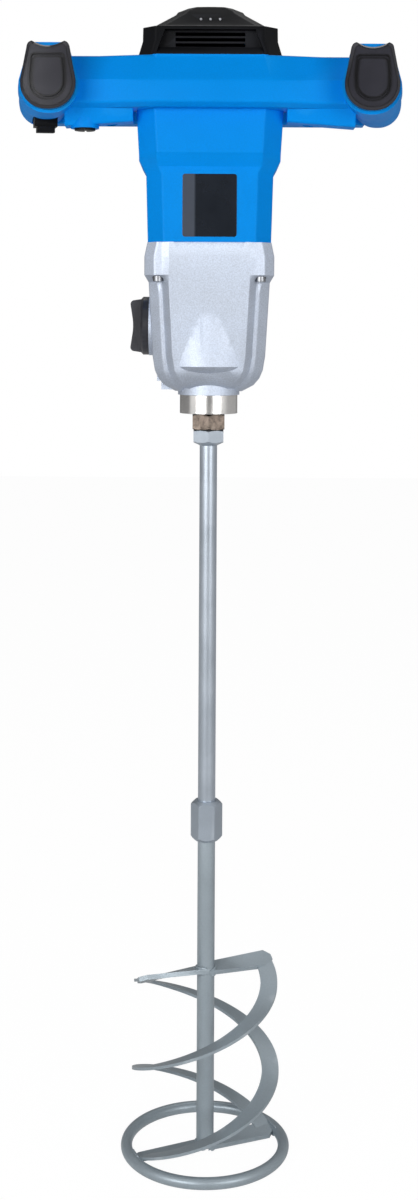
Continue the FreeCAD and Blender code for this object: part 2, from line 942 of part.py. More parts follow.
def ribbon_shape(side):
    """A flat strip wound once round the axis, a little wider at the bottom than at the top."""
    pitch = float(d.paddle_pitch)
    outer = float(d.ribbon_top_radius)
    inner = outer - float(d.ribbon_width)
    thick = float(d.ribbon_thickness) / 2
    middle = (outer + inner) / 2
    spread = math.degrees(math.atan2(float(d.ribbon_outer_radius) - outer, pitch))
    path = Part.Wire(Part.makeHelix(pitch, pitch, middle, spread).Edges)
    slope = math.atan2(pitch, 2 * math.pi * middle)
    across = Vector(0, -math.sin(slope), math.cos(slope)) * thick
    points = [Vector(inner, 0, 0) - across, Vector(outer, 0, 0) - across]
    points += [Vector(outer, 0, 0) + across, Vector(inner, 0, 0) + across]
    section = Part.makePolygon(points + points[:1])
    strip = path.makePipeShell([section], True, True)
    strip.rotate(Vector(), Vector(1, 0, 0), FULL_TURN / 2)
    strip.rotate(Vector(), Vector(0, 0, 1), float(d.paddle_start_angle) + side)
    return strip


arm_sets = {}
ring_inside = d.ring_radius - half(d.ring_tube_dia)
low_reach = ring_inside + half(d.ribbon_thickness)
top_reach = d.ribbon_top_radius + half(d.ribbon_thickness)
for where, height, reach, root_angle, tip_angle in (
    ("top", z_paddle_top, top_reach, d.top_arm_root_angle, d.top_arm_tip_angle),
    ("bottom", z_paddle, low_reach, d.bottom_arm_root_angle, d.bottom_arm_tip_angle),
):
    arm_sets[where] = [
        made(f"{where}_arm_{side}", arm_shape(side, reach, root_angle, tip_angle), (ZERO, ZERO, height))
        for side in (0, 180)
    ]
ring_seat = doc.addObject("Part::Torus", "ring_seat")
bind(ring_seat, "Radius1", d.ring_radius)
bind(ring_seat, "Radius2", half(d.ring_tube_dia) + d.fit_gap)
place(ring_seat, (ZERO, ZERO, z_paddle))
top_arms = keep(group("top_arms", arm_sets["top"]), "top_arms")
seated_arms = [cut(arm.Name + "_seated", arm, [ring_seat]) for arm in arm_sets["bottom"]]
bottom_arms = keep(group("bottom_arms", seated_arms), "bottom_arms")
for label, side in (("ribbon_a", 0), ("ribbon_b", 180)):
    strip = made(label + "_strip", ribbon_shape(side), (ZERO, ZERO, z_paddle_top))
    keep(cut(label, strip, arm_sets["top"] + arm_sets["bottom"] + [ring_seat]), label)

# Nose collar with its seal, held on the neck of the gear housing.
collar_radius = half(d.collar_dia)
spigot_radius = half(d.spindle_bearing_od) - d.fit_gap
mouth_radius = half(d.collar_mouth_dia)
seal_radius = half(d.seal_od)
nose_collar = turned("nose_collar", [
    (mouth_radius, ZERO),
    (collar_radius, ZERO),
    (collar_radius, z_neck),
    (spigot_radius, z_neck),
    (spigot_radius, z_lower_bearing),
    (half(d.collar_spigot_bore), z_lower_bearing),
    (half(d.collar_spigot_bore), d.seal_depth),
    (mouth_radius, d.seal_depth),
])
keep(nose_collar, "nose_collar")
seal_bore = half(d.spindle_dia) + d.run_gap
spindle_seal = turned("spindle_seal", [
    (seal_bore, d.seal_depth),
    (seal_radius - d.fit_gap, d.seal_depth),
    (seal_radius - d.fit_gap, d.seal_depth + d.seal_height),
    (half(d.shoulder_dia), d.seal_depth + d.seal_height),
    (seal_bore, d.seal_depth + half(d.seal_height)),
])
keep(spindle_seal, "spindle_seal")


# Ball bearings: outer race, shields and inner race in one ring, running on the shaft.
def bearing(label, shaft_dia, outer_dia, height, at):
    inner = half(shaft_dia) + d.run_gap
    outer = half(outer_dia)
    race = (outer - inner) * d.race_share
    sink = d.shield_recess
    profile = [
        (inner, ZERO),
        (inner + race, ZERO),
        (inner + race, sink),
        (outer - race, sink),
        (outer - race, ZERO),
        (outer, ZERO),
        (outer, height),
        (outer - race, height),
        (outer - race, height - sink),
        (inner + race, height - sink),
        (inner + race, height),
        (inner, height),
    ]
    return keep(turned(label, profile, at), label)


counter_y = centre_distance
z_counter_bearing = z_floor - d.counter_bearing_height
bearing(
    "spindle_bearing_lower", d.spindle_dia, d.spindle_bearing_od, d.spindle_bearing_height,
    (ZERO, ZERO, z_lower_bearing),
)
bearing(
    "spindle_bearing_upper", d.upper_journal_dia, d.upper_bearing_od, d.upper_bearing_height,
    (ZERO, ZERO, z_upper_bearing),
)
bearing(
    "armature_bearing_lower", d.armature_journal_dia, d.armature_bearing_od, d.plate_height,
    (ZERO, ZERO, z_plate),
)
bearing(
    "armature_bearing_upper", d.tail_journal_dia, d.tail_bearing_od, d.tail_bearing_height,
    (ZERO, ZERO, z_bracket_top),
)
bearing(
    "countershaft_bearing_lower", d.countershaft_journal_dia, d.counter_bearing_od,
    d.counter_bearing_height, (ZERO, counter_y, z_counter_bearing),
)
bearing(
    "countershaft_bearing_upper", d.countershaft_journal_dia, d.counter_bearing_od,
    d.counter_bearing_height, (ZERO, counter_y, z_plate),
)

# Output spindle: hexagon nose with the stud bore, journals, gear seat and the hexagon for the sleeve.
spindle_radius = half(d.spindle_dia)
shoulder_radius = half(d.shoulder_dia)
seat_radius = half(d.gear_seat_dia)
high_radius = half(d.high_journal_dia)
tip_radius = half(d.upper_journal_dia)
z_shoulder = z_lower_bearing + d.spindle_bearing_height
z_hex_top = z_high - d.slip_gap
spindle_round = turned("spindle_round", [
    (ZERO, -d.nose_recess),
    (spindle_radius, -d.nose_recess),
    (spindle_radius, z_shoulder),
    (shoulder_radius, z_shoulder),
    (shoulder_radius, z_low),
    (seat_radius, z_low),
    (seat_radius, z_low_top),
    (high_radius, z_low_top),
    (high_radius, z_high_top),
    (tip_radius, z_high_top),
    (tip_radius, z_upper_bearing_top),
    (ZERO, z_upper_bearing_top),
])
nose_hex = chamfered_hexagon(
    "nose_hex", d.nose_flats, z_rod, d.nose_length - d.nose_recess, d.nose_chamfer, 30.0
)
sleeve_hex = hexagon("sleeve_hex", d.sleeve_flats, z_hex_top - z_low_top, (ZERO, ZERO, z_low_top))
spindle_blank = join("spindle_blank", [spindle_round, nose_hex, sleeve_hex])
spindle_bore = bar(
    "spindle_bore", d.rod_dia, d.spindle_bore_depth + d.overcut, (ZERO, ZERO, z_rod - d.overcut)
)
keep(cut("spindle", spindle_blank, [spindle_bore]), "spindle")


# Gears on the spindle, on the countershaft and on the motor shaft.
def dog_blocks(name, low, length, slack):
    """Square dogs, or the pockets for them, round the axis."""
    inner = half(d.dog_inner_dia) - slack
    run = half(d.dog_outer_dia - d.dog_inner_dia) + slack * 2
    wide = d.dog_width + slack * 2
    blocks = []
    for index in range(DOG_COUNT):
        angle = FULL_TURN * index / DOG_COUNT
        body = new_body(f"{name}_{index}", (ZERO, ZERO, low), ((0, 0, 1), angle))
        side = half(wide)
        sides = [(inner, -side), (inner + run, -side), (inner + run, side), (inner, side)]
        pad(body, outline(body, "XY", sides), length)
        blocks.append(body)
    return blocks


def gear_blank(name, module, teeth, shift, width, low, phase, centre_y=ZERO):
    return made(name, gear_shape(module, teeth, shift, width, phase), (ZERO, centre_y, low))


LOW_SHIFT = 0.42
HIGH_SHIFT = 0.3
to_counter = 90.0
to_spindle = 270.0
low_blank = gear_blank(
    "low_blank", d.slow_module, LOW_GEAR_TEETH, -LOW_SHIFT, d.low_gear_width, z_low,
    phase_to_partner(LOW_GEAR_TEETH, to_counter, False),
)
low_bore = bar("low_bore", d.gear_seat_dia + d.fit_gap * 2, d.low_gear_width + d.overcut * 2,
               (ZERO, ZERO, z_low - d.overcut))
dog_depth = d.dog_length + d.slip_gap
pockets = dog_blocks("dog_pocket", z_low_top - dog_depth, dog_depth + d.overcut, d.slip_gap)
keep(cut("low_gear", low_blank, [low_bore] + pockets), "low_gear")

high_blank = gear_blank(
    "high_blank", d.slow_module, HIGH_GEAR_TEETH, -HIGH_SHIFT, d.high_gear_width, z_high,
    phase_to_partner(HIGH_GEAR_TEETH, to_counter, False),
)
high_bore = bar("high_bore", d.high_journal_dia + d.run_gap * 2, d.high_gear_width + d.overcut * 2,
                (ZERO, ZERO, z_high - d.overcut))
recess = turned("high_recess", ring_points(
    half(d.dog_inner_dia) - d.slip_gap * 2, half(d.dog_outer_dia) + d.slip_gap * 2,
    z_high - d.overcut, z_high + d.high_recess_depth,
))
keep(cut("high_gear", high_blank, [high_bore, recess]), "high_gear")

journal = half(d.countershaft_journal_dia)
counter_radius = half(d.countershaft_dia)
counter_seat = half(d.gear_bore_dia)
z_counter_top = z_plate + d.counter_bearing_height
z_low_pinion_top = z_low_top + d.pinion_overrun
z_high_pinion = z_high - d.pinion_overrun
counter_round = turned("counter_round", [
    (ZERO, z_counter_bearing),
    (journal, z_counter_bearing),
    (journal, z_low_pinion_top),
    (counter_radius, z_low_pinion_top),
    (counter_radius, z_first),
    (counter_seat, z_first),
    (counter_seat, z_first_top),
    (journal, z_first_top),
    (journal, z_counter_top),
    (ZERO, z_counter_top),
], (ZERO, counter_y, ZERO))
low_pinion = gear_blank(
    "low_pinion", d.slow_module, LOW_PINION_TEETH, LOW_SHIFT, z_low_pinion_top - z_low + half(d.gear_gap),
    z_low - half(d.gear_gap), phase_to_partner(LOW_PINION_TEETH, to_spindle, True), counter_y,
)
high_pinion = gear_blank(
    "high_pinion", d.slow_module, HIGH_PINION_TEETH, HIGH_SHIFT, d.high_gear_width + d.pinion_overrun * 2,
    z_high_pinion, phase_to_partner(HIGH_PINION_TEETH, to_spindle, True), counter_y,
)
keep(join("countershaft", [counter_round, low_pinion, high_pinion]), "countershaft")

first_blank = gear_blank(
    "first_blank", d.fast_module, FIRST_GEAR_TEETH, -LOW_SHIFT, d.first_gear_width, z_first,
    phase_to_partner(FIRST_GEAR_TEETH, to_spindle, False), counter_y,
)
first_bore = bar("first_bore", d.gear_bore_dia + d.fit_gap * 2, d.first_gear_width + d.overcut * 2,
                 (ZERO, counter_y, z_first - d.overcut))
keep(cut("first_reduction_gear", first_blank, [first_bore]), "first_reduction_gear")

# Shift sleeve on the hexagon, its fork on a rail, and the selector that moves it.
sleeve_radius = half(d.sleeve_dia)
groove_radius = half(d.groove_dia)
sleeve_round = turned("sleeve_round", [
    (ZERO, z_sleeve),
    (sleeve_radius, z_sleeve),
    (sleeve_radius, z_groove - half(d.groove_width)),
    (groove_radius, z_groove - half(d.groove_width)),
    (groove_radius, z_groove + half(d.groove_width)),
    (sleeve_radius, z_groove + half(d.groove_width)),
    (sleeve_radius, z_sleeve_top),
    (ZERO, z_sleeve_top),
])
low_dogs = dog_blocks("low_dog", z_low_top - d.dog_length, d.dog_length + d.sleeve_gap + d.slip_gap, ZERO)
high_dogs = dog_blocks("high_dog", z_sleeve_top - d.slip_gap, d.dog_length + d.slip_gap, ZERO)
sleeve_bore = hexagon("sleeve_bore", d.sleeve_flats + d.run_gap * 2, d.sleeve_height + d.overcut * 2,
                      (ZERO, ZERO, z_sleeve - d.overcut))
sleeve_blank = join("sleeve_blank", [sleeve_round] + low_dogs + high_dogs)
keep(cut("shift_sleeve", sleeve_blank, [sleeve_bore]), "shift_sleeve")

rail_base = z_floor - d.rail_seat
rail_top = z_plate + d.rail_seat
fork_rail = bar("fork_rail", d.rail_dia, rail_top - rail_base, (-d.rail_x, -d.rail_y, rail_base))
keep(fork_rail, "fork_rail")

fork_low = z_groove - half(d.fork_thickness)
stem_end = -d.knob_boss_face + d.stem_reach
pin_end = stem_end + d.pin_reach
slot_height = d.pin_dia + d.slot_slack * 2
slot_block_height = slot_height + d.slot_wall * 2
fork_ring = turned("fork_ring", ring_points(
    half(d.fork_bore_dia), half(d.fork_outer_dia), fork_low, fork_low + d.fork_thickness
))
fork_half = block("fork_half", ZERO, -d.fork_outer_dia, fork_low - d.overcut,
                  (d.fork_outer_dia, d.fork_outer_dia * 2, d.fork_thickness + d.overcut * 2))
fork_yoke = cut("fork_yoke", fork_ring, [fork_half])
fork_hub = bar("fork_hub", d.hub_dia, d.hub_height, (-d.rail_x, -d.rail_y, z_groove - half(d.hub_height)))
fork_web = extruded("fork_web", "XY", [
    (-half(d.fork_outer_dia) + d.wall, -d.wall),
    (-half(d.fork_outer_dia) + d.wall, d.wall),
    (stem_end + d.slip_gap * 2, d.pin_throw + half(d.slot_run)),
    (stem_end + d.slip_gap * 2, -d.wall),
    (-d.rail_x - d.wall, -d.rail_y),
    (-d.rail_x + half(d.hub_dia), -d.rail_y),
], d.fork_thickness, (ZERO, ZERO, z_groove))
slot_block = block(
    "slot_block",
    stem_end + d.slip_gap * 2,
    d.pin_throw - half(d.slot_run),
    z_groove - half(slot_block_height),
    (d.pin_reach + d.slot_wall, d.slot_run, slot_block_height),
)
slot_cut = block(
    "slot_cut", stem_end - d.overcut, d.pin_throw - d.slot_run, z_groove - half(slot_height),
    (d.pin_reach + d.overcut + d.slip_gap, d.slot_run * 2, slot_height),
)
rail_bore = bar("rail_bore", d.rail_dia + d.run_gap * 2, d.hub_height + d.overcut * 2,
                (-d.rail_x, -d.rail_y, z_groove - half(d.hub_height) - d.overcut))
fork_blank = join("fork_blank", [fork_yoke, fork_hub, fork_web, slot_block])
keep(cut("shift_fork", fork_blank, [slot_cut, rail_bore]), "shift_fork")

knob_face = -d.knob_boss_face - d.slip_gap
knob_outer = knob_face - d.knob_base_height
wing_end = knob_outer - d.knob_wing_height
knob_disc = turned("knob_disc", [
    (ZERO, ZERO),
    (half(d.knob_dia) - d.knob_round, ZERO),
    (half(d.knob_dia), d.knob_round),
    (half(d.knob_dia), d.knob_base_height),
    (ZERO, d.knob_base_height),
], (knob_outer, ZERO, z_selector), ALONG_X)
half_wing = half(d.knob_wing_length)
knob_wing = extruded("knob_wing", "XZ", [
    (knob_outer + d.knob_round, -half_wing, d.knob_round),
    (knob_outer + d.knob_round, half_wing, d.knob_round),
    (wing_end, half_wing - d.knob_round, d.knob_round * 2),
    (wing_end + d.knob_wing_dip, ZERO, half_wing * 2),
    (wing_end, -half_wing + d.knob_round, d.knob_round * 2),
], d.knob_wing_width, (ZERO, ZERO, z_selector))
knob_stem = bar("knob_stem", d.stem_dia, stem_end - knob_face + d.slip_gap,
                (knob_face - d.slip_gap, ZERO, z_selector), ALONG_X)
knob_pin = bar("knob_pin", d.pin_dia, pin_end - stem_end + d.slip_gap,
               (stem_end - d.slip_gap, d.pin_throw, z_groove), ALONG_X)
keep(join("selector", [knob_disc, knob_wing, knob_stem, knob_pin]), "selector")

# Gear housing: cast body with ears, driver grooves, a rounded belly, the nose bulge and the neck.
def mirrored(right):
    """Points of the right half, front to back, then the same points on the left."""
    return right + [(-point[0],) + tuple(point[1:]) for point in reversed(right)]


def housing_outline(half_width, front, back, centre, step, corner, slope):
    side = centre + slope
    edge = d.corner_round
    inner = d.groove_round
    return mirrored([
        (centre, -front, inner),
        (side, -front + step, inner),
        (half_width - corner, -front + step, edge),
        (half_width, -front + step + corner, edge),
        (half_width, back - corner, edge),
        (half_width - corner, back, edge),
    ])


housing_half = d.housing_half_width
housing_deep = d.housing_half_depth
ear_half = housing_half + d.ear_swell
centre_half = d.centre_half_width
centre_low = d.centre_low_half_width
cut_corner = d.corner_cut
column_low = d.column_low_half_width
gear_shell = new_body("gear_shell")
slope = d.groove_slope
ear = (housing_deep, housing_deep, centre_half, d.ear_step, cut_corner, slope)
levels = [
    (z_joint, housing_half) + ear,
    (z_joint - d.ear_top_drop, ear_half) + ear,
    (z_joint - d.ear_low_drop, ear_half, d.ear_low_front, housing_deep, centre_half, d.ear_low_step,
     cut_corner, slope),
    (z_joint - d.column_top_drop, d.column_top_half_width, d.column_top_front, housing_deep - d.ear_swell,
     centre_half, d.column_step, cut_corner, slope),
    (z_low, column_low, d.column_low_front, d.column_low_back, centre_low, d.column_step, cut_corner, slope),
]
belly = (
    (d.belly_top_rise, d.belly_top_share, d.belly_top_front_share),
    (d.belly_mid_rise, d.belly_mid_share, d.belly_mid_front_share),
    (d.belly_low_rise, d.belly_low_share, d.belly_low_front_share),
    (d.belly_end_rise, d.belly_end_share, d.belly_end_front_share),
)
for rise, share, front_share in belly:
    levels.append((
        z_neck + rise, column_low * share, d.column_low_front * front_share, d.column_low_back * share,
        centre_low * front_share, d.column_step * front_share, cut_corner * share, slope * share,
    ))
sections = [outline(gear_shell, "XY", housing_outline(*level[1:]), level[0]) for level in levels]
loft(gear_shell, sections)
neck_radius = half(d.neck_dia)
z_ledge_low = z_neck + d.neck_height
z_bulge = z_neck + d.bulge_low_z
z_bulge_top = z_neck + d.bulge_high_z
neck = turned("neck", [
    (ZERO, z_neck),
    (neck_radius, z_neck),
    (neck_radius, z_ledge_low),
    (half(d.neck_ledge_dia), z_ledge_low + d.ledge_rise),
    (half(d.bulge_low_dia) - d.bulge_edge, z_bulge - d.bulge_edge),
    (half(d.bulge_low_dia), z_bulge),
    (half(d.bulge_high_dia), z_bulge_top),
    (ZERO, z_bulge_top),
])
knob_boss = bar("knob_boss", d.knob_boss_dia, d.knob_boss_depth,
                (-d.knob_boss_face, ZERO, z_selector), ALONG_X)
z_lug = z_neck + d.lug_low_rise
lug_low = block("lug_low", -d.lug_outer, -half(d.lug_depth), z_lug,
                (d.lug_outer - d.lug_inner, d.lug_depth, d.lug_height))
lug_high = block("lug_high", -d.lug_outer - d.lug_step, -half(d.lug_depth), z_lug + d.lug_step_rise,
                 (d.lug_outer - d.lug_inner, d.lug_depth, d.lug_height))
band = extruded("band", "XZ", [
    (-d.band_low_half_width, z_joint - d.band_height),
    (d.band_low_half_width, z_joint - d.band_height),
    (d.band_half_width, z_joint),
    (d.band_half_width, z_joint + d.overcut),
    (-d.band_half_width, z_joint + d.overcut),
    (-d.band_half_width, z_joint),
], d.band_depth * 2, (ZERO, -housing_deep, ZERO))


def eight_sides(half_width, front, back, corner, edge):
    return mirrored([
        (half_width - corner, -front, edge),
        (half_width, -front + corner, edge),
        (half_width, back - corner, edge),
        (half_width - corner, back, edge),
    ])


cavity = new_body("gear_cavity")
cavity_top = d.cavity_top_half
cavity_levels = (
    (z_floor, d.cavity_low_half_width, d.cavity_low_front, d.cavity_low_back),
    (z_plate, cavity_top, cavity_top, cavity_top),
)
loft(cavity, [
    outline(cavity, "XY", eight_sides(wide, front, back, d.cavity_corner, d.corner_round), height)
    for height, wide, front, back in cavity_levels
])
first_radius = half(d.fast_module * FIRST_GEAR_TEETH) + d.fast_module + d.window_gap
first_room = bar("first_room", first_radius * 2, d.first_gear_width + d.stack_gap * 2,
                 (ZERO, counter_y, z_first - d.stack_gap))
plate_seat = bar("plate_seat", d.plate_dia + d.fit_gap * 2, d.plate_height + d.overcut,
                 (ZERO, ZERO, z_plate))
bearing_seat = bar("bearing_seat", d.spindle_bearing_od + d.fit_gap * 2,
                   d.collar_spigot + d.spindle_bearing_height + d.overcut, (ZERO, ZERO, z_neck - d.overcut))
shaft_way = bar("shaft_way", d.shoulder_dia + d.gear_gap * 2, z_floor - z_neck,
                (ZERO, ZERO, z_neck + d.overcut))
counter_pocket = bar("counter_pocket", d.counter_bearing_od + d.fit_gap * 2,
                     d.counter_bearing_height + d.overcut, (ZERO, counter_y, z_counter_bearing))
stem_way = bar("stem_way", d.stem_dia + d.run_gap * 2, d.knob_boss_face,
               (-d.knob_boss_face - d.overcut, ZERO, z_selector), ALONG_X)
rail_hole = bar("rail_hole", d.rail_dia + d.fit_gap * 2, d.rail_seat + d.overcut,
                (-d.rail_x, -d.rail_y, rail_base))
z_head = z_joint - d.screw_head_drop
screw_ways = []
for index, (sx, sy) in enumerate(CORNERS):
    at_x = d.screw_x * sx
    at_y = d.screw_y * sy
    screw_ways.append(bar(f"screw_way_{index}", d.screw_dia + d.fit_gap * 2,
                          d.screw_head_drop + d.overcut * 2, (at_x, at_y, z_head - d.overcut)))
    driver_room = d.screw_head_height + d.overcut * 2
    screw_ways.append(bar(f"driver_way_{index}", d.screw_head_dia + d.driver_slack * 2, driver_room,
                          (at_x, at_y, z_head - driver_room)))
gear_blank_body = join("gear_housing_blank", [gear_shell, neck, knob_boss, lug_low, lug_high])
gear_housing = cut("gear_housing", gear_blank_body, [
    cavity, first_room, plate_seat, bearing_seat, shaft_way, counter_pocket, stem_way, rail_hole, band,
] + screw_ways)
keep(gear_housing, "gear_housing")

# Bearing plate between gears and motor, with the cup for the upper spindle bearing.
cup_radius = half(d.cup_dia)
plate_radius = half(d.plate_dia)
upper_seat = half(d.upper_bearing_od) + d.fit_gap
armature_seat = half(d.armature_bearing_od) + d.fit_gap
plate_round = turned("plate_round", [
    (upper_seat, z_upper_bearing),
    (cup_radius, z_upper_bearing),
    (cup_radius, z_plate),
    (plate_radius, z_plate),
    (plate_radius, z_joint),
    (armature_seat, z_joint),
    (armature_seat, z_plate),
    (half(d.cup_bore), z_plate),
    (half(d.cup_bore), z_upper_bearing_top),
    (upper_seat, z_upper_bearing_top),
])
gear_window = bar("gear_window", first_radius * 2, d.first_gear_width + half(d.stack_gap) * 2,
                  (ZERO, counter_y, z_first - half(d.stack_gap)))
counter_seat_hole = bar("counter_seat_hole", d.counter_bearing_od + d.fit_gap * 2,
                        d.counter_bearing_height + d.overcut, (ZERO, counter_y, z_plate - d.overcut))
rail_top_hole = bar("rail_top_hole", d.rail_dia + d.fit_gap * 2, d.rail_seat + d.overcut,
                    (-d.rail_x, -d.rail_y, z_plate - d.overcut))
keep(cut("bearing_plate", plate_round, [gear_window, counter_seat_hole, rail_top_hole]), "bearing_plate")


# Screws: a pan head and a plain shank, made once per place.
def screws(label, places, shank_dia, shank_length, head_dia, head_height, head_up):
    pieces = []
    for index, (x, y, seat) in enumerate(places):
        low = seat - shank_length if head_up else seat
        head = seat if head_up else seat - head_height
        shank = bar(f"{label}_shank_{index}", shank_dia, shank_length, (x, y, low))
        cap = bar(f"{label}_head_{index}", head_dia, head_height, (x, y, head))
        socket_low = seat + half(head_height) if head_up else seat - head_height - d.overcut
        socket = hexagon(f"{label}_socket_{index}", half(shank_dia) * 2, half(head_height) + d.overcut,
                         (x, y, socket_low))
        pieces.append(cut(f"{label}_{index}", join(f"{label}_blank_{index}", [shank, cap]), [socket]))
    return keep(group(label, pieces), label)


housing_places = [(d.screw_x * sx, d.screw_y * sy, z_head) for sx, sy in CORNERS]
screws("housing_screws", housing_places, d.screw_dia, d.screw_head_drop + d.screw_bite, d.screw_head_dia,
       d.screw_head_height, False)

# Motor housing: eight-sided barrel with a flared collar, the bare label place and air slots at the back.
barrel = new_body("barrel")
barrel_round = d.barrel_round
z_flare = z_joint + d.flare_z
flare_lag = d.flare_rise * d.flare_lag_share
part_width = d.barrel_half_top + (d.flare_half_width - d.barrel_half_top) * d.flare_lag_share
part_depth = d.barrel_half_depth + (d.flare_half_depth - d.barrel_half_depth) * d.flare_lag_share
barrel_levels = (
    (z_joint, d.barrel_half_width, d.barrel_half_depth, d.barrel_corner),
    (z_flare, d.barrel_half_top, d.barrel_half_depth, d.barrel_corner),
    (z_flare + flare_lag, part_width, d.barrel_half_depth, d.barrel_corner),
    (z_flare + d.flare_rise, d.flare_half_width, part_depth, d.flare_corner),
    (z_flare + d.flare_rise + flare_lag, d.flare_half_width, d.flare_half_depth, d.flare_corner),
    (z_handle, d.flare_top_half_width, d.flare_top_half_depth, d.flare_corner),
)
loft(barrel, [
    outline(barrel, "XY", eight_sides(wide, deep, deep, corner, barrel_round), height)
    for height, wide, deep, corner in barrel_levels
])
stator_way = bar("stator_way", d.stator_bore, d.barrel_height + d.overcut * 2,
                 (ZERO, ZERO, z_joint - d.overcut))
bracket_way = bar("bracket_way", d.bracket_bore + d.fit_gap * 2, d.barrel_height, (ZERO, ZERO, z_ledge))
label_low = z_joint + d.label_rise
label_sides = [
    (-d.label_half_width, label_low, d.label_round),
    (d.label_half_width, label_low, d.label_round),
    (d.label_half_width, label_low + d.label_height, d.label_round),
    (-d.label_half_width, label_low + d.label_height, d.label_round),
]
label_face = -d.barrel_half_depth + d.label_sink
label_at = (ZERO, label_face, ZERO)
label_seat = extruded("label_seat", "XZ", label_sides, d.label_thickness * 2, label_at, None, False)
screw_bites = [
    bar(f"screw_bite_{index}", d.screw_dia + d.fit_gap * 2, d.screw_bite + d.overcut * 2,
        (d.screw_x * sx, d.screw_y * sy, z_joint - d.overcut))
    for index, (sx, sy) in enumerate(CORNERS)
]
barrel_bites = [
    bar(f"barrel_bite_{index}", d.handle_screw_dia + d.fit_gap * 2, d.barrel_screw_bite + d.overcut * 2,
        (d.barrel_screw_x * sx, d.barrel_screw_y * sy, z_handle - d.barrel_screw_bite - d.overcut))
    for index, (sx, sy) in enumerate(CORNERS)
]
air_slots = []
for index in range(AIR_SLOTS):
    slot_z = z_joint + d.air_slot_rise + d.air_slot_pitch * index
    air_slots.append(middle_block(f"air_slot_{index}", ZERO, d.barrel_half_depth, slot_z,
                                  (d.air_slot_length, d.barrel_half_depth, d.air_slot_height)))
    for side in (-1, 1):
        air_slots.append(middle_block(f"side_slot_{index}_{side}", d.barrel_half_width * side, ZERO, slot_z,
                                      (d.barrel_half_width, d.air_slot_length, d.air_slot_height)))
motor_housing = cut(
    "motor_housing", barrel, [stator_way, bracket_way, label_seat] + screw_bites + barrel_bites + air_slots
)
keep(motor_housing, "motor_housing")
label_plate = extruded("label_plate", "XZ", label_sides, d.label_thickness, label_at, None, False)
keep(label_plate, "label_plate")

# Motor: the turning shaft with pinion, core, windings, commutator and fan; then stator and brushes.
fast_pinion = gear_blank(
    "fast_pinion", d.fast_module, FAST_PINION_TEETH, LOW_SHIFT, d.first_gear_width + d.pinion_overrun * 2,
    z_first - d.pinion_overrun, phase_to_partner(FAST_PINION_TEETH, to_counter, True),
)
z_pinion_top = z_first_top + d.pinion_overrun
armature_radius = half(d.armature_dia)
journal_radius = half(d.armature_journal_dia)
tail_radius = half(d.tail_journal_dia)
z_tail = z_bracket_top - half(d.stack_gap)
z_tail_top = z_bracket_top + d.tail_bearing_height
shaft_round = turned("shaft_round", [
    (ZERO, z_pinion_top - d.slip_gap),
    (tail_radius, z_pinion_top - d.slip_gap),
    (journal_radius, z_plate - half(d.stack_gap)),
    (journal_radius, z_joint),
    (armature_radius, z_joint),
    (armature_radius, z_tail),
    (tail_radius, z_tail),
    (tail_radius, z_tail_top),
    (ZERO, z_tail_top),
])
keep(join("armature_shaft", [fast_pinion, shaft_round]), "armature_shaft")
core_blank = bar("core_blank", d.core_dia, d.core_height, (ZERO, ZERO, z_core))
core_bore = bar("core_bore", d.armature_dia + d.fit_gap * 2, d.core_height + d.overcut * 2,
                (ZERO, ZERO, z_core - d.overcut))
core_slots = []
for index in range(CORE_SLOTS):
    slot_turn = ((0, 0, 1), FULL_TURN * index / CORE_SLOTS)
    body = new_body(f"core_slot_{index}", (ZERO, ZERO, z_core - d.overcut), slot_turn)
    slot_in = half(d.core_dia) - d.core_slot_depth
    slot_out = half(d.core_dia) + d.overcut
    slot_half = half(d.core_slot_width)
    sides = [(slot_in, -slot_half), (slot_out, -slot_half), (slot_out, slot_half), (slot_in, slot_half)]
    pad(body, outline(body, "XY", sides), d.core_height + d.overcut * 2)
    core_slots.append(body)
keep(cut("armature_core", core_blank, [core_bore] + core_slots), "armature_core")
winding_inner = armature_radius + d.fit_gap
winding_rings = [
    turned(f"winding_{index}", ring_points(winding_inner, half(d.winding_dia), low, low + d.winding_height))
    for index, low in enumerate((z_core - d.winding_height, z_core_top))
]
keep(group("armature_winding", winding_rings), "armature_winding")
z_commutator = z_plate_top + d.commutator_rise - d.bracket_plate
commutator_outer = half(d.commutator_dia)
commutator_round = turned("commutator_round", ring_points(
    winding_inner, commutator_outer, z_commutator, z_commutator + d.commutator_height))
keep(commutator_round, "commutator")

z_fan = z_joint + d.fan_rise
fan_hub = turned("fan_hub", [
    (winding_inner, z_fan),
    (half(d.fan_dia), z_fan),
    (half(d.fan_dia), z_fan + d.fan_disc),
    (half(d.fan_hub_dia), z_fan + d.fan_disc),
    (half(d.fan_hub_dia), z_fan + d.fan_height),
    (winding_inner, z_fan + d.fan_height),
])
blades = []
for index in range(FAN_BLADES):
    body = new_body(f"fan_blade_{index}", (ZERO, ZERO, z_fan), ((0, 0, 1), FULL_TURN * index / FAN_BLADES))
    blade_in = half(d.fan_hub_dia) - d.fan_blade
    blade_out = half(d.fan_dia) - d.fan_blade
    blade_half = half(d.fan_blade)
    sides = [
        (blade_in, -blade_half), (blade_out, -blade_half), (blade_out, blade_half), (blade_in, blade_half),
    ]
    pad(body, outline(body, "XY", sides), d.fan_height)
    blades.append(body)
keep(join("cooling_fan", [fan_hub] + blades), "cooling_fan")

stator_inner = half(d.core_dia) + d.stator_gap
stator_core = turned("stator_core", ring_points(stator_inner, half(d.stator_dia), z_core, z_core_top))
keep(stator_core, "stator_core")
coil_span = d.core_height + d.coil_height * 2 + d.overcut * 2
coil_gap = middle_block("coil_gap", ZERO, ZERO, z_core - d.coil_height - d.overcut,
                        (d.coil_split, d.coil_outer_dia * 2, coil_span))
coil_halves = []
for index, low in enumerate((z_core - d.coil_height, z_core_top)):
    ends = turned(f"coil_end_{index}", ring_points(
        half(d.coil_inner_dia), half(d.coil_outer_dia), low, low + d.coil_height))
    coil_halves.append(cut(f"coil_{index}", ends, [coil_gap]))
keep(group("field_coils", coil_halves), "field_coils")

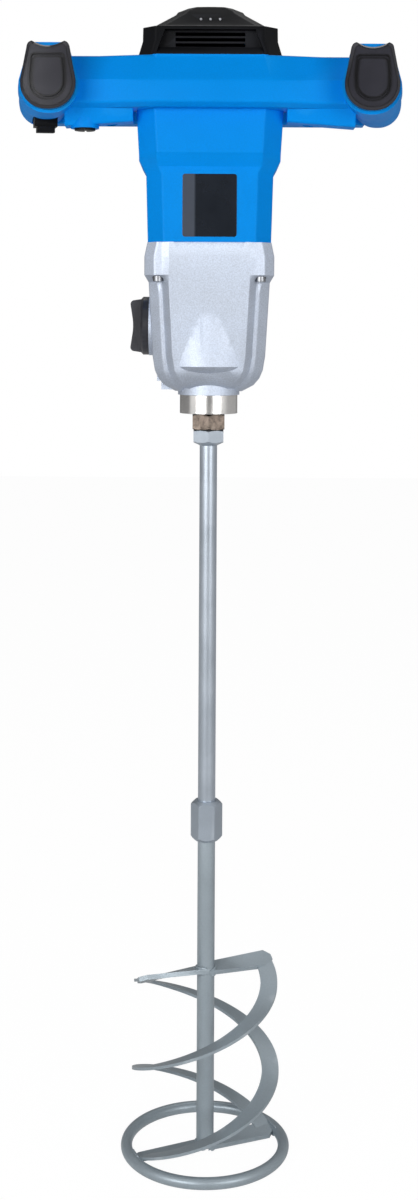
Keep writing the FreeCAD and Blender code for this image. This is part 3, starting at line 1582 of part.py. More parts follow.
# Rear bracket: brush plate with its boxes below, bearing bridge above.
bracket_radius = half(d.bracket_bore)
z_skirt_top = z_plate_top + d.bracket_height
brush_plate = turned(
    "brush_plate", ring_points(half(d.bracket_bore_low), bracket_radius, z_ledge, z_plate_top)
)
box_start = commutator_outer + d.box_gap
box_wide = d.brush_width + d.box_skin * 2 + d.brush_gap * 2
box_high = d.brush_height + d.box_skin + d.brush_lift
brush_boxes = []
brush_ways = []
brushes = []
z_brush = z_plate_top + d.brush_lift
for side in (-1, 1):
    box_middle = (box_start + half(d.box_length)) * side
    brush_middle = (commutator_outer + d.brush_gap + half(d.brush_length)) * side
    box_size = (d.box_length, box_wide, box_high)
    brush_boxes.append(middle_block(f"brush_box_{side}", box_middle, ZERO, z_plate_top, box_size))
    brush_ways.append(middle_block(
        f"brush_way_{side}", box_middle, ZERO, z_brush - d.brush_gap,
        (d.box_length + d.overcut, d.brush_width + d.brush_gap * 2, d.brush_height + d.brush_gap * 2)))
    brushes.append(middle_block(f"brush_{side}", brush_middle, ZERO, z_brush - d.brush_gap,
                                (d.brush_length, d.brush_width, d.brush_height)))
brush_blank = join("brush_holder_blank", [brush_plate] + brush_boxes)
keep(cut("brush_holders", brush_blank, brush_ways), "brush_holders")
keep(group("carbon_brushes", brushes), "carbon_brushes")
tail_seat = half(d.tail_bearing_od) + d.fit_gap
bridge = turned("rear_bracket", [
    (bracket_radius - d.bracket_skin, z_plate_top),
    (bracket_radius, z_plate_top),
    (bracket_radius, z_skirt_top),
    (half(d.bracket_hub_dia), z_skirt_top),
    (half(d.bracket_hub_dia), z_skirt_top + d.bracket_hub_rise),
    (tail_seat, z_skirt_top + d.bracket_hub_rise),
    (tail_seat, z_bracket_top),
    (armature_radius + d.slip_gap * 2, z_bracket_top),
    (armature_radius + d.slip_gap * 2, z_skirt_top - d.bracket_skin),
    (bracket_radius - d.bracket_skin, z_skirt_top - d.bracket_skin),
])
keep(bridge, "rear_bracket")

# Handle frame: hub round the motor, front and rear bars, two splayed grips; the inset makes the hollow.
grip_span = d.grip_front + d.grip_rear
grip_splay = d.grip_rear_x - d.grip_front_x
splay_angle = math.degrees(math.atan2(float(grip_splay), float(grip_span)))


def grip_centre(y):
    return d.grip_front_x + grip_splay * (y + d.grip_front) / grip_span


def bar_sides(setback, drop, inset):
    front = -d.bar_front + setback + inset
    low = z_handle + inset
    high = z_handle_top - inset
    inner = -d.bar_inner - inset
    edge = d.bar_round
    return [
        (front + d.bar_chin, low, edge),
        (front, low + d.bar_chin_rise, edge),
        (front, z_parting - drop),
        (front + d.bar_top_setback, high, edge),
        (inner, high, edge),
        (inner, low, edge),
    ]


def belly_sides(drop, inset):
    chin = -d.bar_front + d.bar_side_setback + d.bar_chin + inset
    inner = -d.bar_inner - inset
    low = z_handle - drop + inset
    top = z_handle + d.wall * 3
    return [
        (chin, z_handle + inset),
        (-d.bar_inner - d.bar_belly_run + inset, low, d.bar_round),
        (inner, low, d.bar_round),
        (inner, top),
        (chin, top),
    ]


def rear_sides(inset):
    low = z_handle + d.rear_bar_rise + inset
    high = z_handle_top - inset
    outer = d.rear_bar_outer - inset
    inner = d.rear_bar_inner + inset
    edge = d.bar_round
    return [
        (inner, low, edge),
        (outer - d.rear_bar_chamfer, low, edge),
        (outer, low + d.rear_bar_chamfer, edge),
        (outer, z_parting),
        (outer - d.bar_top_setback, high, edge),
        (inner, high, edge),
    ]


def grip_sides(centre, waist, grow, lift, inset):
    wide = d.grip_half_width + grow - waist - inset
    top = d.grip_top_half - waist - inset
    low = z_handle - d.grip_drop - grow + lift + waist + inset
    high = z_handle - d.grip_drop + d.grip_height - waist - inset
    shoulder = z_handle - d.grip_drop + lift + d.grip_shoulder
    return [
        (centre - wide, low, wide * d.grip_round_share),
        (centre + wide, low, wide * d.grip_round_share),
        (centre + wide, shoulder, d.grip_top_round),
        (centre + top, high, d.grip_top_round),
        (centre - top, high, d.grip_top_round),
        (centre - wide, shoulder, d.grip_top_round),
    ]


def frame_solid(name, inset):
    body = new_body(name)
    hub_sides = eight_sides(
        d.hub_half_width - inset, d.hub_front - inset, d.hub_back - inset, d.hub_corner, d.bar_round
    )
    pad(body, outline(body, "XY", hub_sides, z_handle + inset), d.handle_height - inset * 2)
    right_stations = (
        (d.bar_centre_half, ZERO, d.crease_drop),
        (d.bar_side_x, d.bar_side_setback, ZERO),
        (d.bar_end_x, d.bar_side_setback, ZERO),
    )
    left_stations = [(-x, setback, drop) for x, setback, drop in reversed(right_stations)]
    stations = []
    for x, setback, drop in left_stations + list(right_stations):
        stations.append(outline(body, "YZ", bar_sides(setback, drop, inset), x))
    loft(body, stations)
    for side in (-1, 1):
        start = (d.belly_start_x + inset) * side
        end = (d.belly_end_x - inset) * side
        loft(body, [
            outline(body, "YZ", belly_sides(d.bar_belly_drop, inset), start),
            outline(body, "YZ", belly_sides(d.bar_belly_end_drop, inset), end),
        ])
    rear_half = d.rear_bar_half
    loft(body, [outline(body, "YZ", rear_sides(inset), x) for x in (-rear_half, rear_half)])
    front_end = -d.grip_front + inset
    rear_end = d.grip_rear - inset
    for side in (-1, 1):
        rings = []
        for y, waist, grow, lift in (
            (front_end, ZERO, d.grip_head_grow, ZERO),
            (-d.grip_full_y, ZERO, d.grip_head_grow, ZERO),
            (d.grip_waist_y, d.grip_waist, ZERO, ZERO),
            (d.grip_full_y, ZERO, ZERO, d.grip_mid_lift),
            (d.grip_rear - d.grip_end_length - inset, ZERO, ZERO, d.grip_rear_lift),
            (rear_end, d.grip_end_inset, ZERO, d.grip_rear_lift),
        ):
            centre = grip_centre(y) * side
            rings.append(outline(body, "XZ", grip_sides(centre, waist, grow, lift, inset), -y))
        loft(body, rings)
    return body


frame_outer = frame_solid("frame_outer", ZERO)
frame_hollow = frame_solid("frame_hollow", d.wall)

# What stands in the hollow: screw posts, the dial boss and the rests of the switch.
pivot_y = d.trigger_pivot_y
pivot_x = -grip_centre(pivot_y)
z_pivot = z_handle + d.trigger_pivot_rise
splay_turn = ((0, 0, 1), splay_angle)
post_places = []
for side in (-1, 1):
    post_places.append((d.post_front_x * side, -d.post_front_y))
    post_places.append((d.post_rear_x * side, d.post_rear_y))
    post_places.append((d.post_end_x * side, d.post_rear_y))
post_low = z_handle - d.handle_height
posts = [
    bar(f"post_{index}", d.post_dia, d.handle_height * 2 + d.grip_height, (x, y, post_low))
    for index, (x, y) in enumerate(post_places)
]


def local_block(name, y_low, length, width, low, height):
    """A box laid along the left grip, measured from the trigger pivot."""
    wide = half(width)
    sides = [(-wide, y_low), (wide, y_low), (wide, y_low + length), (-wide, y_low + length)]
    body = new_body(name, (pivot_x, pivot_y, low), splay_turn)
    pad(body, outline(body, "XY", sides), height)
    return body


z_switch = z_handle + d.switch_rise
z_switch_top = z_switch + d.switch_height
cradle = local_block("cradle", d.cradle_start, d.cradle_length, d.cradle_width, post_low, z_switch - post_low)
roof_rest = local_block("roof_rest", -half(d.switch_front), d.cradle_length, d.cradle_width, z_switch_top,
                        d.handle_height)
z_boss = z_handle - d.dial_boss_drop
z_boss_top = z_handle + d.dial_seat_rise
dial_at = (-d.dial_x, -d.dial_y)
dial_boss = bar("dial_boss", d.dial_boss_dia, z_boss_top - z_boss, dial_at + (z_boss,))
hollow = cut("hollow", frame_hollow, posts + [cradle, roof_rest, dial_boss])

# Openings through the frame.
through = d.wall + d.overcut * 2
motor_mouth = bar("motor_mouth", d.motor_mouth_dia, through, (ZERO, ZERO, z_handle - d.overcut))
air_mouth = bar("air_mouth", d.air_mouth_dia, through, (ZERO, ZERO, z_handle_top - d.wall - d.overcut))
trigger_slot = local_block("trigger_slot", -d.trigger_slot_front, d.trigger_slot_length, d.trigger_slot_width,
                           z_handle - d.trigger_slot_depth, d.trigger_slot_depth * 2)
dial_pocket = bar("dial_pocket", d.dial_dia + d.slip_gap * 2,
                  d.dial_height - d.dial_proud + d.slip_gap + d.overcut, dial_at + (z_boss - d.overcut,))
dial_way = bar("dial_way", d.dial_stem_dia + d.run_gap * 2, d.handle_height, dial_at + (z_boss - d.overcut,))
z_seat = z_handle + d.handle_head_z
frame_holes = []
for index, (x, y) in enumerate(post_places):
    frame_holes.append(bar(f"post_hole_{index}", d.handle_screw_dia + d.fit_gap * 2,
                           d.handle_screw_length + d.overcut, (x, y, z_seat - d.overcut)))
    frame_holes.append(bar(f"post_head_{index}", d.handle_head_dia + d.driver_slack * 2, d.handle_height,
                           (x, y, z_seat - d.handle_height)))
for index, (sx, sy) in enumerate(CORNERS):
    frame_holes.append(bar(f"floor_hole_{index}", d.handle_screw_dia + d.fit_gap * 2, through,
                           (d.barrel_screw_x * sx, d.barrel_screw_y * sy, z_handle - d.overcut)))
    frame_holes.append(bar(f"roof_hole_{index}", d.handle_screw_dia + d.fit_gap * 2, through,
                           (d.cap_screw_x * sx, d.cap_screw_y * sy, z_handle_top - d.wall - d.overcut)))
inlet_x = -grip_centre(d.grip_rear)
z_inlet = z_handle + d.inlet_rise
inlet_hole = bar("inlet_hole", d.inlet_dia + d.fit_gap * 2, d.grip_end_length,
                 (inlet_x, d.grip_rear - d.inlet_seat - d.wall, z_inlet), ALONG_Y)
frame_blank = join("frame_blank", [frame_outer, dial_boss])
frame = cut("frame", frame_blank, [
    hollow, motor_mouth, air_mouth, trigger_slot, dial_pocket, dial_way, inlet_hole,
] + frame_holes)
reach = d.bar_end_x * 2
lower_half = middle_block("lower_half", ZERO, ZERO, z_parting - reach, (reach * 2, reach * 2, reach))
upper_half = middle_block("upper_half", ZERO, ZERO, z_parting, (reach * 2, reach * 2, reach))
keep(common("handle_lower_shell", frame, lower_half), "handle_lower_shell")
keep(common("handle_upper_shell", frame, upper_half), "handle_upper_shell")
handle_places = [(x, y, z_seat) for x, y in post_places]
screws("handle_screws", handle_places, d.handle_screw_dia, d.handle_screw_length, d.handle_head_dia,
       d.handle_head_height, False)
barrel_places = [(d.barrel_screw_x * sx, d.barrel_screw_y * sy, z_handle + d.wall) for sx, sy in CORNERS]
screws("barrel_screws", barrel_places, d.handle_screw_dia, d.barrel_screw_bite + d.wall, d.handle_head_dia,
       d.handle_head_height, True)
cap_places = [(d.cap_screw_x * sx, d.cap_screw_y * sy, z_handle_top - d.wall) for sx, sy in CORNERS]
screws("cap_screws", cap_places, d.handle_screw_dia, d.cap_screw_length, d.handle_head_dia,
       d.handle_head_height, False)


# Bumpers: shield-shaped rubber caps on the front ends of the grips.
z_bumper = z_handle - d.grip_drop


def bumper_sides(centre, inset):
    wide = d.grip_half_width + d.bumper_grow - inset
    top = d.grip_top_half + d.bumper_grow - inset
    notch = d.bumper_notch_half - inset
    low = z_bumper + inset
    high = z_bumper + d.grip_height - inset
    shoulder = z_bumper + d.grip_shoulder
    return [
        (centre - wide, low, wide * d.grip_round_share),
        (centre + wide, low, wide * d.grip_round_share),
        (centre + wide, shoulder, d.bumper_shoulder_round),
        (centre + top, high, d.bumper_top_round),
        (centre + notch, high, d.bumper_notch_round),
        (centre, high - d.bumper_dip, d.bumper_dip_round),
        (centre - notch, high, d.bumper_notch_round),
        (centre - top, high, d.bumper_top_round),
        (centre - wide, shoulder, d.bumper_shoulder_round),
    ]


def panel_sides(centre, grow):
    wide = d.panel_half_width + grow
    top = d.panel_top_half + grow
    low = z_bumper + d.panel_rise - grow
    high = z_bumper + d.panel_rise + d.panel_height + grow
    shoulder = z_bumper + d.panel_shoulder
    return [
        (centre - wide, low, wide * d.grip_round_share),
        (centre + wide, low, wide * d.grip_round_share),
        (centre + wide, shoulder),
        (centre + top, high, d.panel_round),
        (centre - top, high, d.panel_round),
        (centre - wide, shoulder),
    ]


bumper_back = d.grip_front
bumper_face = d.grip_front + d.bumper_depth
for label, side in (("left_bumper", -1), ("right_bumper", 1)):
    centre = d.grip_front_x * side
    cap_body = new_body(label + "_cap")
    loft(cap_body, [
        outline(cap_body, "XZ", bumper_sides(centre, ZERO), bumper_back),
        outline(cap_body, "XZ", bumper_sides(centre, ZERO), bumper_face - d.bumper_round),
        outline(cap_body, "XZ", bumper_sides(centre, d.bumper_round), bumper_face),
    ])
    depth = d.bumper_groove_depth
    groove = new_body(label + "_groove_outer")
    pad(groove, outline(groove, "XZ", panel_sides(centre, d.bumper_groove), bumper_face - depth), depth * 2)
    panel = new_body(label + "_panel")
    pad(panel, outline(panel, "XZ", panel_sides(centre, ZERO), bumper_face - depth * 2), depth * 4)
    keep(cut(label, cap_body, [cut(label + "_groove", groove, [panel])]), label)

# Trigger on its pin, with a ribbed finger pad, and the switch above it.
trigger_body = new_body("trigger_body", (pivot_x, pivot_y, z_pivot), splay_turn)
toe = -d.trigger_length
pad(trigger_body, outline(trigger_body, "YZ", [
    (d.trigger_tail, -d.trigger_heel, d.trigger_round),
    (d.trigger_tail, d.trigger_crown, d.trigger_round),
    (toe, d.trigger_crown, d.trigger_round),
    (toe, -d.trigger_toe_drop, d.trigger_round),
    (-d.trigger_knee, -d.trigger_drop, d.trigger_round),
]), d.trigger_width, True)
pad_low = -d.trigger_toe_drop - d.pad_height
pad_end = toe + d.pad_setback + d.pad_length
finger_pad = new_body("finger_pad", (pivot_x, pivot_y, z_pivot), splay_turn)
pad(finger_pad, outline(finger_pad, "YZ", [
    (toe + d.pad_setback, pad_low, d.trigger_round),
    (pad_end, pad_low + d.pad_height, d.trigger_round),
    (pad_end, -d.trigger_drop + d.trigger_round * 2),
    (toe + d.pad_setback, -d.trigger_drop + d.trigger_round * 2),
]), d.pad_width, True)
rib_cuts = []
rib_pitch = d.rib_width * 2
for index in range(PAD_RIBS):
    rib_start = toe + d.pad_setback + d.trigger_round + rib_pitch * index
    rib_low = z_pivot + pad_low + d.pad_height * rib_pitch * index / d.pad_length - d.overcut
    rib_cuts.append(local_block(f"rib_cut_{index}", rib_start, d.rib_width, d.trigger_width, rib_low,
                                d.overcut + d.rib_depth + half(d.rib_depth)))


def pin_along_grip(name, dia, length):
    """A bar across the left grip through the trigger pivot."""
    profile = ring_points(ZERO, half(dia), -half(length), half(length))
    body = turned(name, profile, (pivot_x, pivot_y, z_pivot))
    turn = FreeCAD.Rotation(Vector(0, 0, 1), splay_angle) * FreeCAD.Rotation(Vector(0, 1, 0), 90)
    body.Placement.Rotation = turn
    return body


ear_gap = d.slip_gap * 2
ear_span = d.trigger_width + ear_gap + d.switch_ear * 2
trigger_bore = pin_along_grip("trigger_bore", d.trigger_pin_dia + d.run_gap * 2, ear_span)
keep(cut("trigger", join("trigger_blank", [trigger_body, finger_pad]), [trigger_bore] + rib_cuts), "trigger")
trigger_pin = pin_along_grip("trigger_pin", d.trigger_pin_dia, ear_span)
keep(trigger_pin, "trigger_pin")
ear_low = z_pivot - half(d.switch_ear_length)
switch_box = local_block("switch_box", -d.switch_front, d.switch_length, d.switch_width, z_switch,
                         d.switch_height)
ear_block = local_block("ear_block", -half(d.switch_ear_length), d.switch_ear_length, ear_span, ear_low,
                        z_switch - ear_low + d.wall)
ear_space = local_block("ear_space", -d.switch_ear_length, d.switch_ear_length * 2, d.trigger_width + ear_gap,
                        ear_low - d.overcut, z_switch - ear_low + d.overcut)
ear_bore = pin_along_grip("ear_bore", d.trigger_pin_dia + d.fit_gap * 2, ear_span + d.overcut * 2)
keep(cut("switch_body", join("switch_blank", [switch_box, ear_block]), [ear_space, ear_bore]), "switch_body")

# Speed dial in its boss and the control module above it.
z_dial = z_boss - d.dial_proud
dial_disc = bar("dial_disc", d.dial_dia, d.dial_height, dial_at + (z_dial,))
z_dial_stem = z_dial + d.dial_height - d.slip_gap
dial_stem = bar("dial_stem", d.dial_stem_dia, d.dial_stem_length, dial_at + (z_dial_stem,))
dial_slot = middle_block("dial_slot", -d.dial_x, -d.dial_y, z_dial - d.overcut,
                         (d.dial_grip_width, d.dial_dia * 2, d.overcut + d.dial_grip_depth))
keep(cut("speed_dial", join("dial_blank", [dial_disc, dial_stem]), [dial_slot]), "speed_dial")
module_room = bar("module_room", d.dial_stem_dia + d.slip_gap * 2, d.module_height,
                  dial_at + (z_boss_top - half(d.module_height),))
module_box = middle_block("module_box", -d.dial_x, -d.dial_y, z_boss_top,
                          (d.module_length, d.module_depth, d.module_height))
keep(cut("speed_module", module_box, [module_room]), "speed_module")

# Cable inlet: the bare rubber gland in the end of the left grip.
inlet_radius = half(d.inlet_dia)
cable_inlet = turned("cable_inlet", [
    (ZERO, -d.inlet_seat),
    (inlet_radius, -d.inlet_seat),
    (inlet_radius, ZERO),
    (half(d.inlet_flange_dia), ZERO),
    (half(d.inlet_flange_dia), d.inlet_flange),
    (half(d.inlet_bore) + d.inlet_flange, d.inlet_length),
    (half(d.inlet_bore), d.inlet_length),
    (half(d.inlet_bore), d.inlet_length - d.inlet_bore_depth),
    (ZERO, d.inlet_length - d.inlet_bore_depth),
], (inlet_x, d.grip_rear, z_inlet), ALONG_Y)
keep(cable_inlet, "cable_inlet")


# Top cap: sloped sides, a domed crown, the front air vent with its slats and screw posts inside.
def cap_solid(name, inset):
    body = new_body(name)
    edge = d.cap_corner_round
    corner = d.cap_corner
    dome = d.cap_dome_corner
    crown = d.cap_crown_corner
    shoulder = d.cap_shoulder_corner
    levels = (
        (ZERO, d.cap_half_width, d.cap_front, d.cap_back, corner, edge),
        (d.cap_waist_rise, d.cap_waist_half_width, d.cap_waist_front, d.cap_waist_back, corner, edge),
        (d.cap_side_rise, d.cap_top_half_width, d.cap_top_front, d.cap_top_back, corner, edge),
        (d.cap_shoulder_rise, d.cap_shoulder_half_width, d.cap_shoulder_front, d.cap_shoulder_back,
         shoulder, edge),
        (d.cap_dome_rise, d.cap_dome_half_width, d.cap_dome_front, d.cap_dome_back, dome, edge),
        (d.cap_edge_rise, d.cap_edge_half_width, d.cap_edge_front, d.cap_edge_back, dome, edge),
        (d.cap_crown_rise, d.cap_crown_half_width, d.cap_crown_front, d.cap_crown_back, crown, edge),
        (d.cap_tip_rise, d.cap_tip_half_width, d.cap_tip_front, d.cap_tip_back,
         d.cap_tip_corner, d.cap_tip_round),
    )
    if float(inset) > 0:
        levels = levels[:-1]
    rings = []
    for rise, wide, front, back, corner, radius in levels:
        height = z_handle_top + rise - (inset if rise is not ZERO else ZERO)
        sides = eight_sides(wide - inset, front - inset, back - inset, corner, radius)
        rings.append(outline(body, "XY", sides, height))
    loft(body, rings)
    return body


cap_outer = cap_solid("cap_outer", ZERO)
cap_hollow = cap_solid("cap_hollow", d.wall)
cap_posts = [
    bar(f"cap_post_{index}", d.post_dia, d.cap_shoulder_rise,
        (d.cap_screw_x * sx, d.cap_screw_y * sy, z_handle_top))
    for index, (sx, sy) in enumerate(CORNERS)
]
cap_bites = [
    bar(f"cap_bite_{index}", d.handle_screw_dia + d.fit_gap * 2, d.cap_screw_length + d.overcut,
        (d.cap_screw_x * sx, d.cap_screw_y * sy, z_handle_top - d.overcut))
    for index, (sx, sy) in enumerate(CORNERS)
]
z_vent = z_handle_top + d.vent_rise
z_vent_top = z_vent + d.vent_height
z_sill = z_vent + d.sill_rise
vent_room = extruded("vent_room", "XZ", [
    (-d.vent_half_width, z_vent),
    (d.vent_half_width, z_vent),
    (d.vent_top_half_width, z_vent_top),
    (-d.vent_top_half_width, z_vent_top),
], d.vent_depth * 2, (ZERO, -d.cap_front, ZERO))
sill = extruded("sill", "YZ", [
    (-d.cap_front, z_vent),
    (-d.cap_front + d.sill_run, z_sill),
    (-d.cap_front + d.vent_depth + d.overcut, z_sill),
    (-d.cap_front + d.vent_depth + d.overcut, z_vent - d.overcut),
    (-d.cap_front, z_vent - d.overcut),
], d.cap_half_width * 2)
vent = cut("vent", vent_room, [sill])
vent_back = middle_block("vent_back", ZERO, -d.cap_front + half(d.vent_block_depth), z_handle_top,
                         ((d.vent_half_width + d.wall) * 2, d.vent_block_depth, d.cap_side_rise))
louvres = []
for index in range(VENT_LOUVRES):
    louvre_low = z_sill + half(d.louvre_height) + d.louvre_pitch * index
    louvres.append(middle_block(f"louvre_{index}", ZERO, -d.cap_front + half(d.vent_block_depth), louvre_low,
                                (d.louvre_half_width * 2, d.vent_block_depth * 2, d.louvre_height)))
z_cap_hole = z_handle_top + half(d.cap_shoulder_rise + d.cap_dome_rise)
cap_holes = [
    bar(f"cap_hole_{index}", d.cap_hole_dia, d.cap_front,
        (d.cap_hole_pitch * index, -d.cap_front, z_cap_hole), ALONG_Y)
    for index in (-1, 0, 1)
]
cap_room = cut("cap_room", cap_hollow, cap_posts + [vent_back])
top_cap = cut("top_cap", cap_outer, [cap_room, vent] + louvres + cap_holes + cap_bites)
keep(top_cap, "top_cap")

# Checks and the files.
doc.recompute()
for item in doc.Objects:
    if "Invalid" in item.State or "Error" in item.State:
        raise RuntimeError(f"{item.Label} does not build: {item.State}")
os.makedirs("parts", exist_ok=True)
for item in nodes:
    if item.Shape.isNull() or not item.Shape.isValid():
        raise RuntimeError(f"{item.Label} is not a sound shape")
    item.Shape.exportStep(f"parts/{item.Label}.step")
    box = item.Shape.BoundBox
    spans = [(box.XMin, box.XMax), (box.YMin, box.YMax), (box.ZMin, box.ZMax)]
    text = " ".join(f"{low:.1f}..{high:.1f}" for low, high in spans)
    print(f"{item.Label}: {len(item.Shape.Solids)} solids, {item.Shape.Volume:.0f} mm3, {text}")
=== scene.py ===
# %% [markdown]
# # A two-handed mixing drill with its paddle
# The solids of the drill come in as a fixed frame: blue moulded body, black cap and bumpers, cast
# gear housing, and a rod with a ring paddle below. This lesson dresses that frame. Each cell names
# one finish or one group of pieces, says what it is on the real tool, and then makes it.

# %% Load the frame
import bpy
import bmesh
import math
from mathutils import Matrix, Vector


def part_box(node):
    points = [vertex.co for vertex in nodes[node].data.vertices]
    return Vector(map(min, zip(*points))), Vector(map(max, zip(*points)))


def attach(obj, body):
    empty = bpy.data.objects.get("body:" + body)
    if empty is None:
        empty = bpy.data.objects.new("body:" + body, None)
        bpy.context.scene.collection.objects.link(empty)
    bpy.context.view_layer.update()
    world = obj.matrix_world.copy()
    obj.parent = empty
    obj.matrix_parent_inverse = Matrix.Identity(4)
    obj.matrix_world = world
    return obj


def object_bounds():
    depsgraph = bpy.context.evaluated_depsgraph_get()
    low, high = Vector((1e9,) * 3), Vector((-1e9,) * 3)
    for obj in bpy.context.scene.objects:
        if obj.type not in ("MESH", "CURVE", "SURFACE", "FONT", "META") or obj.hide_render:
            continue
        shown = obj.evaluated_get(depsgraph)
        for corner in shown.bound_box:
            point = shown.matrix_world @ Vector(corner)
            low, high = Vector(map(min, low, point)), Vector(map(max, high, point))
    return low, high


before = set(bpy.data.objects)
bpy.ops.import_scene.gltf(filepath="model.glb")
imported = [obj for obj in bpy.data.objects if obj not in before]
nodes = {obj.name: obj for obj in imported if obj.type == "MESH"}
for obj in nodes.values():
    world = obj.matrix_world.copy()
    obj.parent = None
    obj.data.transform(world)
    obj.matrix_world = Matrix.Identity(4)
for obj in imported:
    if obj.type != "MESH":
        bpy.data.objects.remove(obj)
scene = bpy.context.scene
cad_box = [list(corner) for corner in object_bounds()]
MM = 0.001
print("loaded", len(nodes), "nodes, box in mm:", [[round(v / MM) for v in corner] for corner in cad_box])

# %% [markdown]
# ## Two small helpers
# Colours are written the way a paint chart gives them, as sRGB hex values. Shaders want linear
# light, so one function converts them. A second function adds a node to a shader tree: constants
# go into its sockets, and another node's output becomes a link.

# %% Colour and node helpers
AZURE = "#0090EC"


def linear(hex_colour):
    channels = [int(hex_colour[i:i + 2], 16) / 255 for i in (1, 3, 5)]
    light = [c / 12.92 if c <= 0.04045 else ((c + 0.055) / 1.055) ** 2.4 for c in channels]
    return (*light, 1.0)


def add(tree, kind, sockets=None, **settings):
    node = tree.nodes.new(kind)
    for name, value in settings.items():
        setattr(node, name, value)
    for name, value in (sockets or {}).items():
        if isinstance(value, bpy.types.NodeSocket):
            tree.links.new(value, node.inputs[name])
        else:
            node.inputs[name].default_value = value
    return node


print("helpers ready; azure in linear light:", [round(c, 3) for c in linear(AZURE)])

# %% [markdown]
# ## What every finish shares
# Moulded plastic, castings and paint differ in colour and grain, but they are seen in the same
# ways: a slow mottle across the surface, a fine grain that flecks the colour and breaks up the
# gloss, and edges that handling has rubbed brighter. The colour of all that is mixed here. The
# spans say which values of a noise, or of the edge sharpness that Blender calls pointiness, count
# as none and as full.

# %% Mottled and rubbed paint
MOTTLE_SPAN = {"From Min": 0.3, "From Max": 0.7}
GRAIN_SPAN = {"From Min": 0.35, "From Max": 0.65}
EDGE_SPAN = {"From Min": 0.53, "From Max": 0.62}


def worn_paint(tree, colour, worn, slow, grain, mottle, speckle, wear):
    tone = add(tree, "ShaderNodeMapRange", {
        "Value": slow, **MOTTLE_SPAN, "To Min": 1 - mottle, "To Max": 1 + mottle})
    fleck = add(tree, "ShaderNodeMapRange", {
        "Value": grain, **GRAIN_SPAN, "To Min": 1 - speckle, "To Max": 1 + speckle})
    value = add(tree, "ShaderNodeMath", {
        0: tone.outputs["Result"], 1: fleck.outputs["Result"]}, operation="MULTIPLY")
    base = add(tree, "ShaderNodeHueSaturation", {
        "Color": linear(colour), "Value": value.outputs["Value"]})
    sharpness = add(tree, "ShaderNodeNewGeometry").outputs["Pointiness"]
    edge = add(tree, "ShaderNodeMapRange", {
        "Value": sharpness, **EDGE_SPAN, "To Min": 0.0, "To Max": wear})
    rubbed = add(tree, "ShaderNodeMath", {0: edge.outputs["Result"], 1: slow}, operation="MULTIPLY")
    return add(tree, "ShaderNodeMixRGB", {
        "Fac": rubbed.outputs["Value"], "Color1": base.outputs["Color"], "Color2": linear(worn)})


print("paint mixer ready")

# %% [markdown]
# Two finishes need more. The label film has a band of another colour down one side, which
# is placed by its distance across from the tool's axis. The bumpers get painted shade along their
# rims and grooves: near black where the rounded rims turn from the light and the grooves sink in.
# Dark edges could be painted by vertex, but the flats have no vertices inside them, so a rounded
# normal is compared with the true one: where the two part, a rim is near.

# %% Side band and painted rim shade
RIM_SPAN = {"From Min": 0.92, "From Max": 0.995}
RIM_SAMPLES = 8


def with_side_band(tree, paint, place, band_colour, solid_mm, gone_mm):
    across = add(tree, "ShaderNodeSeparateXYZ", {"Vector": place})
    fade = add(tree, "ShaderNodeMapRange", {
        "Value": across.outputs["X"], "From Min": solid_mm * MM, "From Max": gone_mm * MM,
        "To Min": 1.0, "To Max": 0.0})
    return add(tree, "ShaderNodeMixRGB", {
        "Fac": fade.outputs["Result"], "Color1": paint.outputs["Color"], "Color2": linear(band_colour)})


# Painted shade: near rims and grooves the colour is mixed toward near black, standing in for shade.
def with_painted_rim_shade(tree, paint, rim_shade_colour, rim_mm):
    rounded = add(tree, "ShaderNodeBevel", {"Radius": rim_mm * MM}, samples=RIM_SAMPLES)
    true_normal = add(tree, "ShaderNodeNewGeometry").outputs["Normal"]
    likeness = add(tree, "ShaderNodeVectorMath", {
        0: rounded.outputs["Normal"], 1: true_normal}, operation="DOT_PRODUCT")
    near_rim = add(tree, "ShaderNodeMapRange", {
        "Value": likeness.outputs["Value"], **RIM_SPAN, "To Min": 1.0, "To Max": 0.0})
    return add(tree, "ShaderNodeMixRGB", {
        "Fac": near_rim.outputs["Result"], "Color1": paint.outputs["Color"], "Color2": linear(rim_shade_colour)})


print("band and rim ready")

# %% [markdown]
# The whole surface joins that paint to a gloss that varies with the mottle and to a bump from the
# grain. Each finish gives real sizes in millimetres. The grain of a mould is near 0.2 mm, which no
# picture of a whole tool resolves, so it is drawn several times coarser and much fainter.

# %% The shared surface
def surface(name, colour, worn, mottle_mm, grain_mm, grain_depth_mm, rough, metallic=0.0, mottle=0.05,
            speckle=0.03, wear=0.35, pattern=None, side_band=None, painted_rim_shade=None, **shader_sockets):
    material = bpy.data.materials.new(name)
    material.use_nodes = True
    tree = material.node_tree
    shader = tree.nodes["Principled BSDF"]
    place = add(tree, "ShaderNodeTexCoord").outputs["Object"]
    slow = add(tree, "ShaderNodeTexNoise", {
        "Vector": place, "Scale": 1 / (mottle_mm * MM), "Detail": 3.0, "Roughness": 0.6}).outputs["Fac"]
    grain = add(tree, "ShaderNodeTexNoise", {
        "Vector": place, "Scale": 1 / (grain_mm * MM), "Detail": 2.0, "Roughness": 0.55}).outputs["Fac"]
    paint = worn_paint(tree, colour, worn, slow, grain, mottle, speckle, wear)
    if side_band:
        paint = with_side_band(tree, paint, place, *side_band)
    # Painted shade along rims and grooves, for the finishes that are given it.
    if painted_rim_shade:
        paint = with_painted_rim_shade(tree, paint, *painted_rim_shade)
    gloss = add(tree, "ShaderNodeMapRange", {
        "Value": slow, **MOTTLE_SPAN, "To Min": rough[0], "To Max": rough[1]})
    height = grain if pattern is None else pattern(tree, place, grain)
    bump = add(tree, "ShaderNodeBump", {
        "Height": height, "Strength": 1.0, "Distance": grain_depth_mm * MM})
    tree.links.new(paint.outputs["Color"], shader.inputs["Base Color"])
    tree.links.new(gloss.outputs["Result"], shader.inputs["Roughness"])
    tree.links.new(bump.outputs["Normal"], shader.inputs["Normal"])
    shader.inputs["Metallic"].default_value = metallic
    for socket, value in shader_sockets.items():
        shader.inputs[socket.replace("_", " ")].default_value = value
    return material


print("surface function ready")

